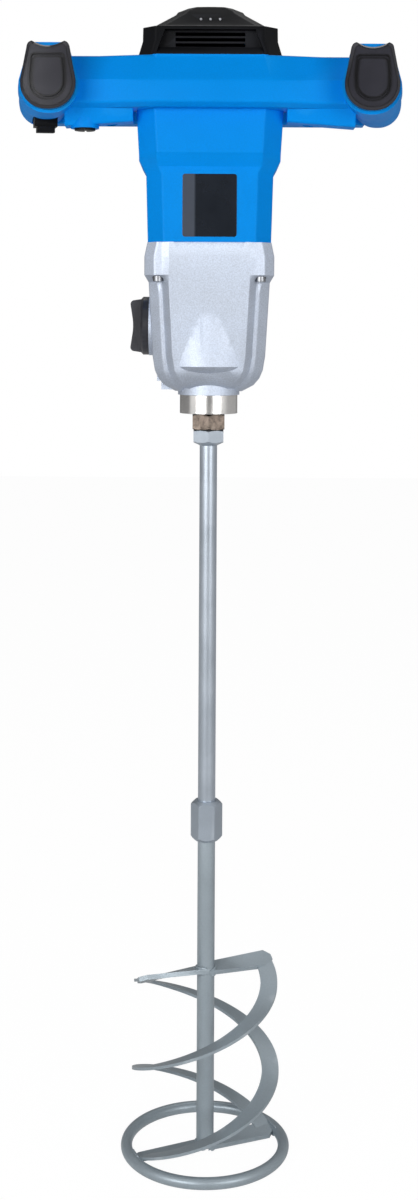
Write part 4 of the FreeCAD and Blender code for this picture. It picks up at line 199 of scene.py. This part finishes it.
# %% [markdown]
# ## Plastics and rubber
# The body is glass-filled polyamide from a spark-eroded mould, and the cap, trigger and dial are
# the same resin in black. That skin scatters most of what it would mirror, so the specular level
# is well under that of polished resin. The bumpers are moulded over the grips in rubber, and the
# label plate is a bare film.

# %% Plastic finishes
# Spark-eroded skin gives an even satin azure with hardly any glint.
blue_polyamide = surface(
    "satin_moulded_blue_polyamide", AZURE, worn="#2FA6F0", mottle_mm=90, grain_mm=1.1,
    grain_depth_mm=0.012, rough=(0.42, 0.52), mottle=0.04, IOR=1.53, Specular_IOR_Level=0.06)
# The same skin in black looks deep and dull.
black_polyamide = surface(
    "fine_grained_black_polyamide", "#0D0E11", worn="#3C3E46", mottle_mm=60, grain_mm=0.9,
    grain_depth_mm=0.02, rough=(0.34, 0.44), mottle=0.12, IOR=1.53, Specular_IOR_Level=0.11)
# Fingers polish the selector knob, so it is greyer and has a soft shine.
knob_polyamide = surface(
    "satin_black_polyamide_knob", "#26272E", worn="#4A4C56", mottle_mm=40, grain_mm=0.9,
    grain_depth_mm=0.015, rough=(0.26, 0.36), mottle=0.1, IOR=1.53, Specular_IOR_Level=0.5)
# Inner mouldings come from plain moulds and stay dark grey and dull.
inner_polyamide = surface(
    "plain_moulded_inner_polyamide", "#2A2B2E", worn="#4A4C50", mottle_mm=40, grain_mm=0.9,
    grain_depth_mm=0.02, rough=(0.5, 0.62), mottle=0.1, IOR=1.53)
print("plastics:", [m.name for m in bpy.data.materials])

# %% Rubber and film finishes
# Rubber from a polished mould is charcoal and glossy on the flats, with painted shade near black at rims
# and grooves.
bumper_rubber = surface(
    "overmoulded_charcoal_rubber", "#2E2E36", worn="#5C5E68", mottle_mm=45, grain_mm=0.8,
    grain_depth_mm=0.015, rough=(0.13, 0.19), mottle=0.12, wear=0.0, painted_rim_shade=("#050506", 3.6),
    IOR=1.5, Specular_IOR_Level=0.6)
# Moulded nitrile is a dull black.
seal_rubber = surface(
    "moulded_nitrile_seal_rubber", "#1A1A1A", worn="#3A3A3A", mottle_mm=30, grain_mm=0.8,
    grain_depth_mm=0.02, rough=(0.55, 0.7), mottle=0.1, IOR=1.5)
# Gloss film is dark and almost a mirror, with a smoke-grey band at its left side.
label_film = surface(
    "bare_gloss_label_film", "#151B24", worn="#3C424C", mottle_mm=30, grain_mm=2.5,
    grain_depth_mm=0.004, rough=(0.10, 0.16), mottle=0.1, wear=0.1,
    side_band=("#4B515C", -12.4, -10.6), IOR=1.5)
print("rubber and film:", bumper_rubber.name, seal_rubber.name, label_film.name)

# %% [markdown]
# ## Metals
# A lathe leaves rings round the axis, and stacked sheets or wound wire show as lines in the same
# direction, so one pattern serves them all: a wave along the axis, added to the grain. Lathe marks
# are about 0.15 mm apart on the part, and sheets and wires are 0.5 to 1 mm thick. They are drawn 0.8
# to 1.2 mm apart, as coarse as they need to be to show.

# %% Rings along the axis
WAVE_RADIANS_PER_UNIT = 20


def rings_along_z(spacing_mm):
    def pattern(tree, place, grain):
        wave = add(tree, "ShaderNodeTexWave", {
            "Vector": place, "Scale": 2 * math.pi / WAVE_RADIANS_PER_UNIT / (spacing_mm * MM),
            "Distortion": 0.6, "Detail": 2.0}, wave_type="BANDS", bands_direction="Z")
        both = add(tree, "ShaderNodeMath", {0: wave.outputs["Fac"], 1: grain}, operation="ADD")
        return both.outputs["Value"]
    return pattern


print("ring pattern ready")

# %% [markdown]
# The metals that show are the blasted gear housing, the turned collar, the burnished spindle nose,
# the plated rod and the painted paddle. Metals keep the shader's default IOR: their colour is what
# they mirror.

# %% Outer metal finishes
# Glass bead leaves tiny dents, so the casting is pale, slightly blue, matt and faintly speckled.
cast_aluminium = surface(
    "bead_blasted_die_cast_aluminium", "#CED6E3", worn="#F0F3F8", mottle_mm=35, grain_mm=1.0,
    grain_depth_mm=0.06, rough=(0.56, 0.68), metallic=1.0, mottle=0.04, speckle=0.09)
# Fine lathe rings draw reflections out along the axis, into upright bright bands.
turned_steel = surface(
    "turned_bright_steel", "#E2E0DE", worn="#F5F5F5", mottle_mm=25, grain_mm=0.7,
    grain_depth_mm=0.015, rough=(0.14, 0.24), metallic=1.0, pattern=rings_along_z(0.8))
# Rubbed and heat-tinted steel is brownish, with an uneven gloss.
burnished_steel = surface(
    "burnished_spindle_steel", "#8A7D73", worn="#C4B6AA", mottle_mm=5, grain_mm=0.9,
    grain_depth_mm=0.06, rough=(0.22, 0.45), metallic=1.0, mottle=0.55, speckle=0.12)
# Zinc plate is a cool grey with a soft streak of light.
zinc_rod = surface(
    "satin_zinc_plated_rod", "#ADB7C2", worn="#DDE3EA", mottle_mm=40, grain_mm=0.8,
    grain_depth_mm=0.02, rough=(0.32, 0.44), metallic=0.7)
# Powder coat is an even grey that wears lighter along edges.
paddle_paint = surface(
    "grey_powder_coat_on_steel", "#A4B0B8", worn="#D2DADF", mottle_mm=40, grain_mm=1.4,
    grain_depth_mm=0.03, rough=(0.30, 0.42), metallic=0.3, mottle=0.06, wear=0.6)
# Small plated heads are grey with a dull glint.
screw_steel = surface(
    "dull_zinc_plated_screw_steel", "#8C8E92", worn="#C0C2C6", mottle_mm=10, grain_mm=0.6,
    grain_depth_mm=0.02, rough=(0.3, 0.45), metallic=1.0, mottle=0.1)
print("outer metals:", cast_aluminium.name, turned_steel.name, zinc_rod.name, paddle_paint.name)

# %% [markdown]
# Inside are bearings, gears, the motor's sheets and windings, and the brushes. They hardly show
# through the vents, but anyone who opens the tool sees them.

# %% Inner metal and carbon finishes
# Ground races mirror almost cleanly.
bearing_steel = surface(
    "ground_bearing_steel", "#C8C9CC", worn="#E8E8EA", mottle_mm=20, grain_mm=0.6,
    grain_depth_mm=0.008, rough=(0.15, 0.25), metallic=1.0, pattern=rings_along_z(0.8))
# Hardened teeth under oil are a warm grey, half glossy.
gear_steel = surface(
    "oiled_hardened_gear_steel", "#A8A6A2", worn="#D0CEC8", mottle_mm=18, grain_mm=0.7,
    grain_depth_mm=0.012, rough=(0.22, 0.34), metallic=1.0, mottle=0.12)
# Stacked sheets show as fine lines across the stack.
core_steel = surface(
    "stacked_electrical_steel", "#8A8A8E", worn="#B0B0B4", mottle_mm=20, grain_mm=0.6,
    grain_depth_mm=0.06, rough=(0.4, 0.55), metallic=1.0, pattern=rings_along_z(1.0))
# Enamelled wire lies in rows, orange-brown and glossy.
copper_wire = surface(
    "enamelled_copper_wire", "#C27845", worn="#E0A070", mottle_mm=12, grain_mm=0.8,
    grain_depth_mm=0.12, rough=(0.25, 0.4), metallic=1.0, mottle=0.15, pattern=rings_along_z(1.2))
# Turned copper is pinkish and bright.
turned_copper = surface(
    "turned_commutator_copper", "#D69A6E", worn="#F0C09A", mottle_mm=12, grain_mm=0.6,
    grain_depth_mm=0.012, rough=(0.2, 0.32), metallic=1.0, pattern=rings_along_z(0.8))
# Pressed carbon is a dull dark grey.
pressed_carbon = surface(
    "pressed_brush_carbon", "#2C2C2C", worn="#4A4A4A", mottle_mm=10, grain_mm=0.6,
    grain_depth_mm=0.03, rough=(0.5, 0.65), mottle=0.15)
print("finishes in all:", len(bpy.data.materials))

# %% [markdown]
# ## Which finish each solid wears
# The frame's nodes are grouped by the finish that the real piece has. Each row gives the finish,
# how far sharp edges are rounded in millimetres, and the nodes.

# %% The wardrobe
DRESS = [
    (blue_polyamide, 0.5, "motor_housing handle_lower_shell handle_upper_shell"),
    (black_polyamide, 0.5, "top_cap trigger speed_dial cable_inlet"),
    (knob_polyamide, 0.6, "selector"),
    (bumper_rubber, 0.5, "left_bumper right_bumper"),
    (label_film, 0.2, "label_plate"),
    (cast_aluminium, 0.6, "gear_housing"),
    (turned_steel, 0.3, "nose_collar"),
    (burnished_steel, 0.2, "spindle"),
    (zinc_rod, 0.4, "mixing_rod rod_coupling"),
    (paddle_paint, 0.4, "paddle_shaft paddle_ring top_arms bottom_arms ribbon_a ribbon_b"),
    (screw_steel, 0.2, "housing_screws handle_screws barrel_screws cap_screws trigger_pin"),
    (seal_rubber, 0.1, "spindle_seal"),
    (bearing_steel, 0.1, "spindle_bearing_lower spindle_bearing_upper armature_bearing_lower "
     "armature_bearing_upper countershaft_bearing_lower countershaft_bearing_upper fork_rail"),
    (gear_steel, 0.0, "low_gear high_gear countershaft first_reduction_gear shift_sleeve shift_fork "
     "armature_shaft"),
    (core_steel, 0.0, "armature_core stator_core"),
    (copper_wire, 0.0, "armature_winding field_coils"),
    (turned_copper, 0.0, "commutator"),
    (pressed_carbon, 0.0, "carbon_brushes"),
    (inner_polyamide, 0.0, "switch_body speed_module brush_holders rear_bracket cooling_fan"),
    (cast_aluminium, 0.0, "bearing_plate"),
]
print("finishes in use:", len({material.name for material, _, _ in DRESS}))

# %% [markdown]
# The modifiers do what a mould or a deburring tool does: they weld the triangles together, dissolve
# the flat ones into whole faces and round every sharp edge by a fraction of a millimetre, so that
# edges catch light. The solid's own mesh is not touched.

# %% Dress the nodes
JOIN_MM = 0.01
FLAT_DEGREES = 0.4
SHARP_DEGREES = 28
EDGE_SEGMENTS = 2


def soften(piece, width_mm):
    weld = piece.modifiers.new("weld", "WELD")
    weld.merge_threshold = JOIN_MM * MM
    flat = piece.modifiers.new("flat_faces", "DECIMATE")
    flat.decimate_type = "DISSOLVE"
    flat.angle_limit = math.radians(FLAT_DEGREES)
    rounded = piece.modifiers.new("soft_edges", "BEVEL")
    rounded.width = width_mm * MM
    rounded.segments = EDGE_SEGMENTS
    rounded.limit_method = "ANGLE"
    rounded.angle_limit = math.radians(SHARP_DEGREES)
    rounded.use_clamp_overlap = True
    piece.modifiers.new("even_normals", "WEIGHTED_NORMAL")


dressed = set()
for material, edge_mm, names in DRESS:
    for name in names.split():
        piece = nodes[name]
        piece.data.materials.clear()
        piece.data.materials.append(material)
        if edge_mm:
            soften(piece, edge_mm)
        dressed.add(name)
print("dressed", len(dressed), "nodes; left:", sorted(set(nodes) - dressed))

# %% [markdown]
# ## Weld beads
# The paddle is welded from flat and round bar, and each joint shows a bead of small overlapping
# ripples under the paint. A bead could be a displaced torus, but welds follow odd paths, so here a
# rippled ring of vertices is swept along a list of points and closed with tapered ends.

# %% Sweep a bead
BEAD_SIDES = 8
RIPPLE_SHARE = 0.14
RIPPLE_RADIANS = 2.1
TIP_POINTS = 0.6
TAPER_POINTS = 2


def smooth_piece(name, shape, finish):
    for face in shape.faces:
        face.smooth = True
    mesh = bpy.data.meshes.new(name)
    shape.to_mesh(mesh)
    shape.free()
    mesh.materials.append(finish)
    piece = bpy.data.objects.new(name, mesh)
    scene.collection.objects.link(piece)
    return piece


def weld_bead(name, points_mm, radius_mm):
    shape = bmesh.new()
    rings = []
    last = len(points_mm) - 1
    route = [Vector(point) * MM for point in points_mm]
    angles = [2 * math.pi * k / BEAD_SIDES for k in range(BEAD_SIDES)]
    for i, centre in enumerate(route):
        ahead = (route[min(i + 1, last)] - route[max(i - 1, 0)]).normalized()
        across = ahead.cross(Vector((0, 0, 1))).normalized()
        up = across.cross(ahead)
        taper = min(1.0, (min(i, last - i) + TIP_POINTS) / TAPER_POINTS)
        ripple = 1 - RIPPLE_SHARE + RIPPLE_SHARE * math.cos(i * RIPPLE_RADIANS)
        size = radius_mm * MM * taper * ripple
        spokes = [across * math.cos(angle) + up * math.sin(angle) for angle in angles]
        rings.append([shape.verts.new(centre + spoke * size) for spoke in spokes])
    for first, second in zip(rings, rings[1:]):
        for k in range(BEAD_SIDES):
            n = (k + 1) % BEAD_SIDES
            shape.faces.new((first[k], first[n], second[n], second[k]))
    shape.faces.new(rings[0])
    shape.faces.new(rings[-1])
    bmesh.ops.recalc_face_normals(shape, faces=shape.faces)
    bead = smooth_piece(name, shape, paddle_paint)
    bead.modifiers.new("soft_ripples", "SUBSURF").levels = 1
    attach(bead, "spindle")
    return bead


print("bead sweeper ready")

# %% [markdown]
# Each arm is welded to the shaft above and below, so a bead goes part of the way round the shaft on
# both faces of every arm. The arms are pitched like propeller blades, so a bead rises on one side.
# An arm's pitch is its angle at the axis and the degrees that it gains with each millimetre outwards.

# %% Beads at the shaft
SHAFT_MM = 7.0
ARM_HALF_WIDTH_MM = 7.5
ARM_HALF_THICK_MM = 1.8
ARM_BEARING = 24.0
ARM_PITCH = {"top_arms": (6.0, 27.0 / 58.5), "bottom_arms": (8.0, 0.1)}
SHAFT_BEAD_MM = 1.3
OFF_SHAFT_MM = 0.6
OFF_ARM_MM = 0.5
SHAFT_BEAD_TURNS = range(-72, 73, 8)


def around(radius_mm, bearing, height_mm):
    angle = math.radians(bearing)
    return (radius_mm * math.cos(angle), radius_mm * math.sin(angle), height_mm)


def middle_mm(node):
    low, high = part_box(node)
    return (low[2] + high[2]) / 2 / MM


beads = []
for arms, (root_pitch, twist) in ARM_PITCH.items():
    rise = SHAFT_MM * math.tan(math.radians(root_pitch + twist * SHAFT_MM))
    for half_turn in (0, 180):
        for word, side in (("low", -1), ("high", 1)):
            level = middle_mm(arms) + side * (ARM_HALF_THICK_MM + OFF_ARM_MM)
            route = [
                around(SHAFT_MM + OFF_SHAFT_MM, ARM_BEARING + half_turn + turn,
                       level + rise * math.sin(math.radians(turn)))
                for turn in SHAFT_BEAD_TURNS
            ]
            beads.append(weld_bead(f"{arms}_bead_{half_turn}_{word}", route, SHAFT_BEAD_MM))
print("beads at the shaft:", len(beads))

# %% [markdown]
# Two more kinds of bead: one along the front edge of each top arm, where its ribbon begins, and
# one on the inner side of the ring at each end of the bottom arms. The lift is the angle up from
# level, round the ring's tube, at which a bead lies. The low one stays above the ring's foot.

# %% Beads at the ribbons and the ring
RIBBON_BEAD_MM = 1.2
RIBBON_BEAD_REACH_MM = range(45, 57)
RING_MM = 63.0
RING_TUBE_MM = 4.5
RING_BEAD_MM = 1.5
RING_BEAD_TURNS = range(-7, 8)
RING_BEAD_LIFT = {"low": -30, "high": 55}

root_pitch, twist = ARM_PITCH["top_arms"]
for half_turn in (0, 180):
    bearing = math.radians(ARM_BEARING + half_turn)
    ahead = Vector((math.cos(bearing), math.sin(bearing), 0))
    across = Vector((-math.sin(bearing), math.cos(bearing), 0))
    route = []
    for reach in RIBBON_BEAD_REACH_MM:
        pitch = math.radians(root_pitch + twist * reach)
        height = Vector((0, 0, middle_mm("top_arms") - ARM_HALF_WIDTH_MM * math.sin(pitch)))
        route.append(ahead * reach - across * ARM_HALF_WIDTH_MM * math.cos(pitch) + height)
    beads.append(weld_bead(f"ribbon_bead_{half_turn}", route, RIBBON_BEAD_MM))
    for word, lift_degrees in RING_BEAD_LIFT.items():
        lift = math.radians(lift_degrees)
        route = [
            around(RING_MM - RING_TUBE_MM * math.cos(lift), ARM_BEARING + half_turn + turn,
                   middle_mm("paddle_ring") + RING_TUBE_MM * math.sin(lift))
            for turn in RING_BEAD_TURNS
        ]
        beads.append(weld_bead(f"ring_bead_{half_turn}_{word}", route, RING_BEAD_MM))
print("weld beads in all:", len(beads))

# %% [markdown]
# ## Light pipes in the cap
# Three small windows sit in a row above the vent. Each is a moulded pin of frosted plastic with a
# domed end, pushed into its hole from inside, so a short lathe profile is spun about the hole. The
# profile gives the radius at each depth behind the dome's tip.

# %% Light pipes
# Frosted polycarbonate is a milky grey with a soft shine.
frosted_pipe = surface(
    "frosted_polycarbonate_light_pipe", "#A9ABB2", worn="#D5D6DA", mottle_mm=6, grain_mm=0.5,
    grain_depth_mm=0.01, rough=(0.35, 0.5), mottle=0.08, IOR=1.58)
PIPE_PROFILE_MM = [(1.1, 4.0), (1.1, 0.5), (0.95, 0.2), (0.55, 0.03), (0.0, 0.0)]
PIPE_SEGMENTS = 20
SEAM_MM = 0.001
PIPE_SPACING_MM = 7.4
PIPE_TIP_Y_MM = -48.2
PIPE_HEIGHT_MM = 307.9


def light_pipe(name, place_mm):
    shape = bmesh.new()
    verts = [shape.verts.new((radius * MM, depth * MM, 0)) for radius, depth in PIPE_PROFILE_MM]
    edges = [shape.edges.new(pair) for pair in zip(verts, verts[1:])]
    bmesh.ops.spin(shape, geom=verts + edges, cent=(0, 0, 0), axis=(0, 1, 0), angle=2 * math.pi,
                   steps=PIPE_SEGMENTS)
    bmesh.ops.remove_doubles(shape, verts=shape.verts, dist=SEAM_MM * MM)
    bmesh.ops.recalc_face_normals(shape, faces=shape.faces)
    bmesh.ops.translate(shape, verts=shape.verts, vec=Vector(place_mm) * MM)
    pipe = smooth_piece(name, shape, frosted_pipe)
    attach(pipe, "machine")
    return pipe


pipes = [
    light_pipe(f"light_pipe_{i}", (PIPE_SPACING_MM * (i - 1), PIPE_TIP_Y_MM, PIPE_HEIGHT_MM))
    for i in range(3)
]
print("light pipes:", [pipe.name for pipe in pipes])

# %% [markdown]
# ## Camera
# The picture was taken level, from a little over a metre, with the lens height near the gear
# housing. Matching the ellipse of the ring fixes that height and distance. The frame is cropped well
# below the lens axis, which a shift reproduces without tilting, and the tool leans a hair to the right.

# %% Camera
HEIGHT_PX = 1200
FOCAL_PX = 1650
HORIZON_PX = 328.5
SENSOR_MM = 36
LENS_PLACE = (0, -1.328, 0.068)
LEAN_DEGREES = 0.29

camera_data = bpy.data.cameras.new("view_camera")
camera_data.sensor_width = SENSOR_MM
camera_data.lens = FOCAL_PX / HEIGHT_PX * SENSOR_MM
camera_data.shift_y = -(HEIGHT_PX / 2 - HORIZON_PX) / HEIGHT_PX
camera = bpy.data.objects.new("view_camera", camera_data)
scene.collection.objects.link(camera)
level_view = Matrix.Rotation(math.radians(90), 4, "X")
lean = Matrix.Rotation(math.radians(LEAN_DEGREES), 4, "Z")
camera.matrix_world = Matrix.Translation(LENS_PLACE) @ level_view @ lean
bpy.context.scene.camera = camera
print("camera lens", round(camera_data.lens, 1), "mm, shift", round(camera_data.shift_y, 4))

# %% [markdown]
# ## Studio
# The background is plain white to the lens and through clear plastic, and only there, so that it
# adds no light to the tool. What gloss and metal mirror is a room with two wide white panels, left
# and right of the lens, a dark slit between them and greyer walls behind: that gives the collar its
# dark line between two white bands. Everything else gets a low even light, which is also the least
# that the room shows. Each wall is given by its bearing as the tool sees it: degrees away from the
# lens, with those on the picture's right positive.

# %% World
EVEN_LIGHT = 0.2
BACK_WALL = 0.12
ROOM = {
    -125: 0.06, -88: 0.06, -74: 0.95, -34: 1.0, -12: 0.9, -3: 0.2,
    8: 0.15, 15: 0.5, 30: 0.95, 66: 0.9, 80: 0.45, 130: 0.4,
}

scene.view_settings.view_transform = "Standard"
world = bpy.data.worlds.new("white_studio")
scene.world = world
world.use_nodes = True
tree = world.node_tree
path = add(tree, "ShaderNodeLightPath")
white = add(tree, "ShaderNodeMath", {
    0: path.outputs["Is Camera Ray"], 1: path.outputs["Is Transmission Ray"]}, operation="MAXIMUM")
way = add(tree, "ShaderNodeSeparateXYZ", {
    "Vector": add(tree, "ShaderNodeTexCoord").outputs["Generated"]})
front = add(tree, "ShaderNodeMath", {0: way.outputs["Y"], 1: -1.0}, operation="MULTIPLY")
bearing = add(tree, "ShaderNodeMath", {
    0: way.outputs["X"], 1: front.outputs["Value"]}, operation="ARCTAN2")
turn = add(tree, "ShaderNodeMapRange", {
    "Value": bearing.outputs["Value"], "From Min": -math.pi, "From Max": math.pi})
room = add(tree, "ShaderNodeValToRGB", {"Fac": turn.outputs["Result"]})
for end in room.color_ramp.elements:
    end.color = (BACK_WALL, BACK_WALL, BACK_WALL, 1)
for degrees, level in ROOM.items():
    room.color_ramp.elements.new((degrees + 180) / 360).color = (level, level, level, 1)
mirrored = add(tree, "ShaderNodeMath", {
    0: path.outputs["Is Glossy Ray"], 1: room.outputs["Color"]}, operation="MULTIPLY")
seen = add(tree, "ShaderNodeMath", {
    0: white.outputs["Value"], 1: mirrored.outputs["Value"]}, operation="MAXIMUM")
strength = add(tree, "ShaderNodeMath", {
    0: seen.outputs["Value"], 1: EVEN_LIGHT}, operation="MAXIMUM")
background = tree.nodes["Background"]
background.inputs["Color"].default_value = (1, 1, 1, 1)
tree.links.new(strength.outputs["Value"], background.inputs["Strength"])
print("room walls:", len(ROOM))

# %% [markdown]
# Two softboxes stand a little above the lens where the panels are, the left one stronger, so faces
# that look up or down fall off in tone. They are wide, so the grips throw only faint shadows on the
# bar. A third, high behind, lights the back for anyone who walks round the tool. The lens does not
# see it. Places and sizes are in metres.

# %% Lamps
def softbox(name, place, size, watts):
    data = bpy.data.lights.new(name, "AREA")
    data.shape = "RECTANGLE"
    data.size, data.size_y = size
    data.energy = watts
    light = bpy.data.objects.new(name, data)
    scene.collection.objects.link(light)
    light.location = place
    light.rotation_euler = (-Vector(place)).to_track_quat("-Z", "Y").to_euler()
    return light


softbox("left_softbox", place=(-1.05, -1.75, 0.3), size=(1.3, 0.8), watts=20)
softbox("right_softbox", place=(1.1, -1.65, 0.25), size=(1.0, 0.8), watts=12)
softbox("rear_softbox", place=(0.2, 1.0, 1.7), size=(1.2, 0.9), watts=4).visible_camera = False

# %% [markdown]
# The floor is white paper to the lens and takes the tool's shadow: most of what the lens sees there
# is a glow, and the rest is lit paper. In mirror reflections it is dim, as a floor below the reach
# of level softboxes is, so undersides keep their own colour.

# %% Floor
REACH = 6.0
FLOOR_GAP_MM = 0.5
GLOW = 1.04
GLOW_SHARE = 0.93
MIRRORED_FLOOR = 0.5

floor_level = cad_box[0][2] - FLOOR_GAP_MM * MM
corners = [(REACH * x, REACH * y, floor_level) for x, y in ((-1, -1), (1, -1), (1, 1), (-1, 1))]
floor_mesh = bpy.data.meshes.new("floor")
floor_mesh.from_pydata(corners, [], [(0, 1, 2, 3)])
floor = bpy.data.objects.new("floor", floor_mesh)
scene.collection.objects.link(floor)
paper = bpy.data.materials.new("white_backdrop_paper")
paper.use_nodes = True
tree = paper.node_tree
shader = tree.nodes["Principled BSDF"]
shader.inputs["Base Color"].default_value = linear("#F2F2F2")
shader.inputs["Roughness"].default_value = 0.9
lit_paper = shader.outputs["BSDF"]
path = add(tree, "ShaderNodeLightPath")
glow = add(tree, "ShaderNodeEmission", {"Color": (1, 1, 1, 1), "Strength": GLOW})
white = add(tree, "ShaderNodeMixShader", {"Fac": GLOW_SHARE, 1: lit_paper, 2: glow.outputs["Emission"]})
seen = add(tree, "ShaderNodeMixShader", {
    "Fac": path.outputs["Is Camera Ray"], 1: lit_paper, 2: white.outputs["Shader"]})
dim = add(tree, "ShaderNodeEmission", {"Color": (1, 1, 1, 1), "Strength": MIRRORED_FLOOR})
show = add(tree, "ShaderNodeMixShader", {
    "Fac": path.outputs["Is Glossy Ray"], 1: seen.outputs["Shader"], 2: dim.outputs["Emission"]})
tree.links.new(show.outputs["Shader"], tree.nodes["Material Output"].inputs["Surface"])
floor_mesh.materials.append(paper)
print("floor at", round(floor_level / MM, 1), "mm")

# %% End of the scene
print("scene dressed")
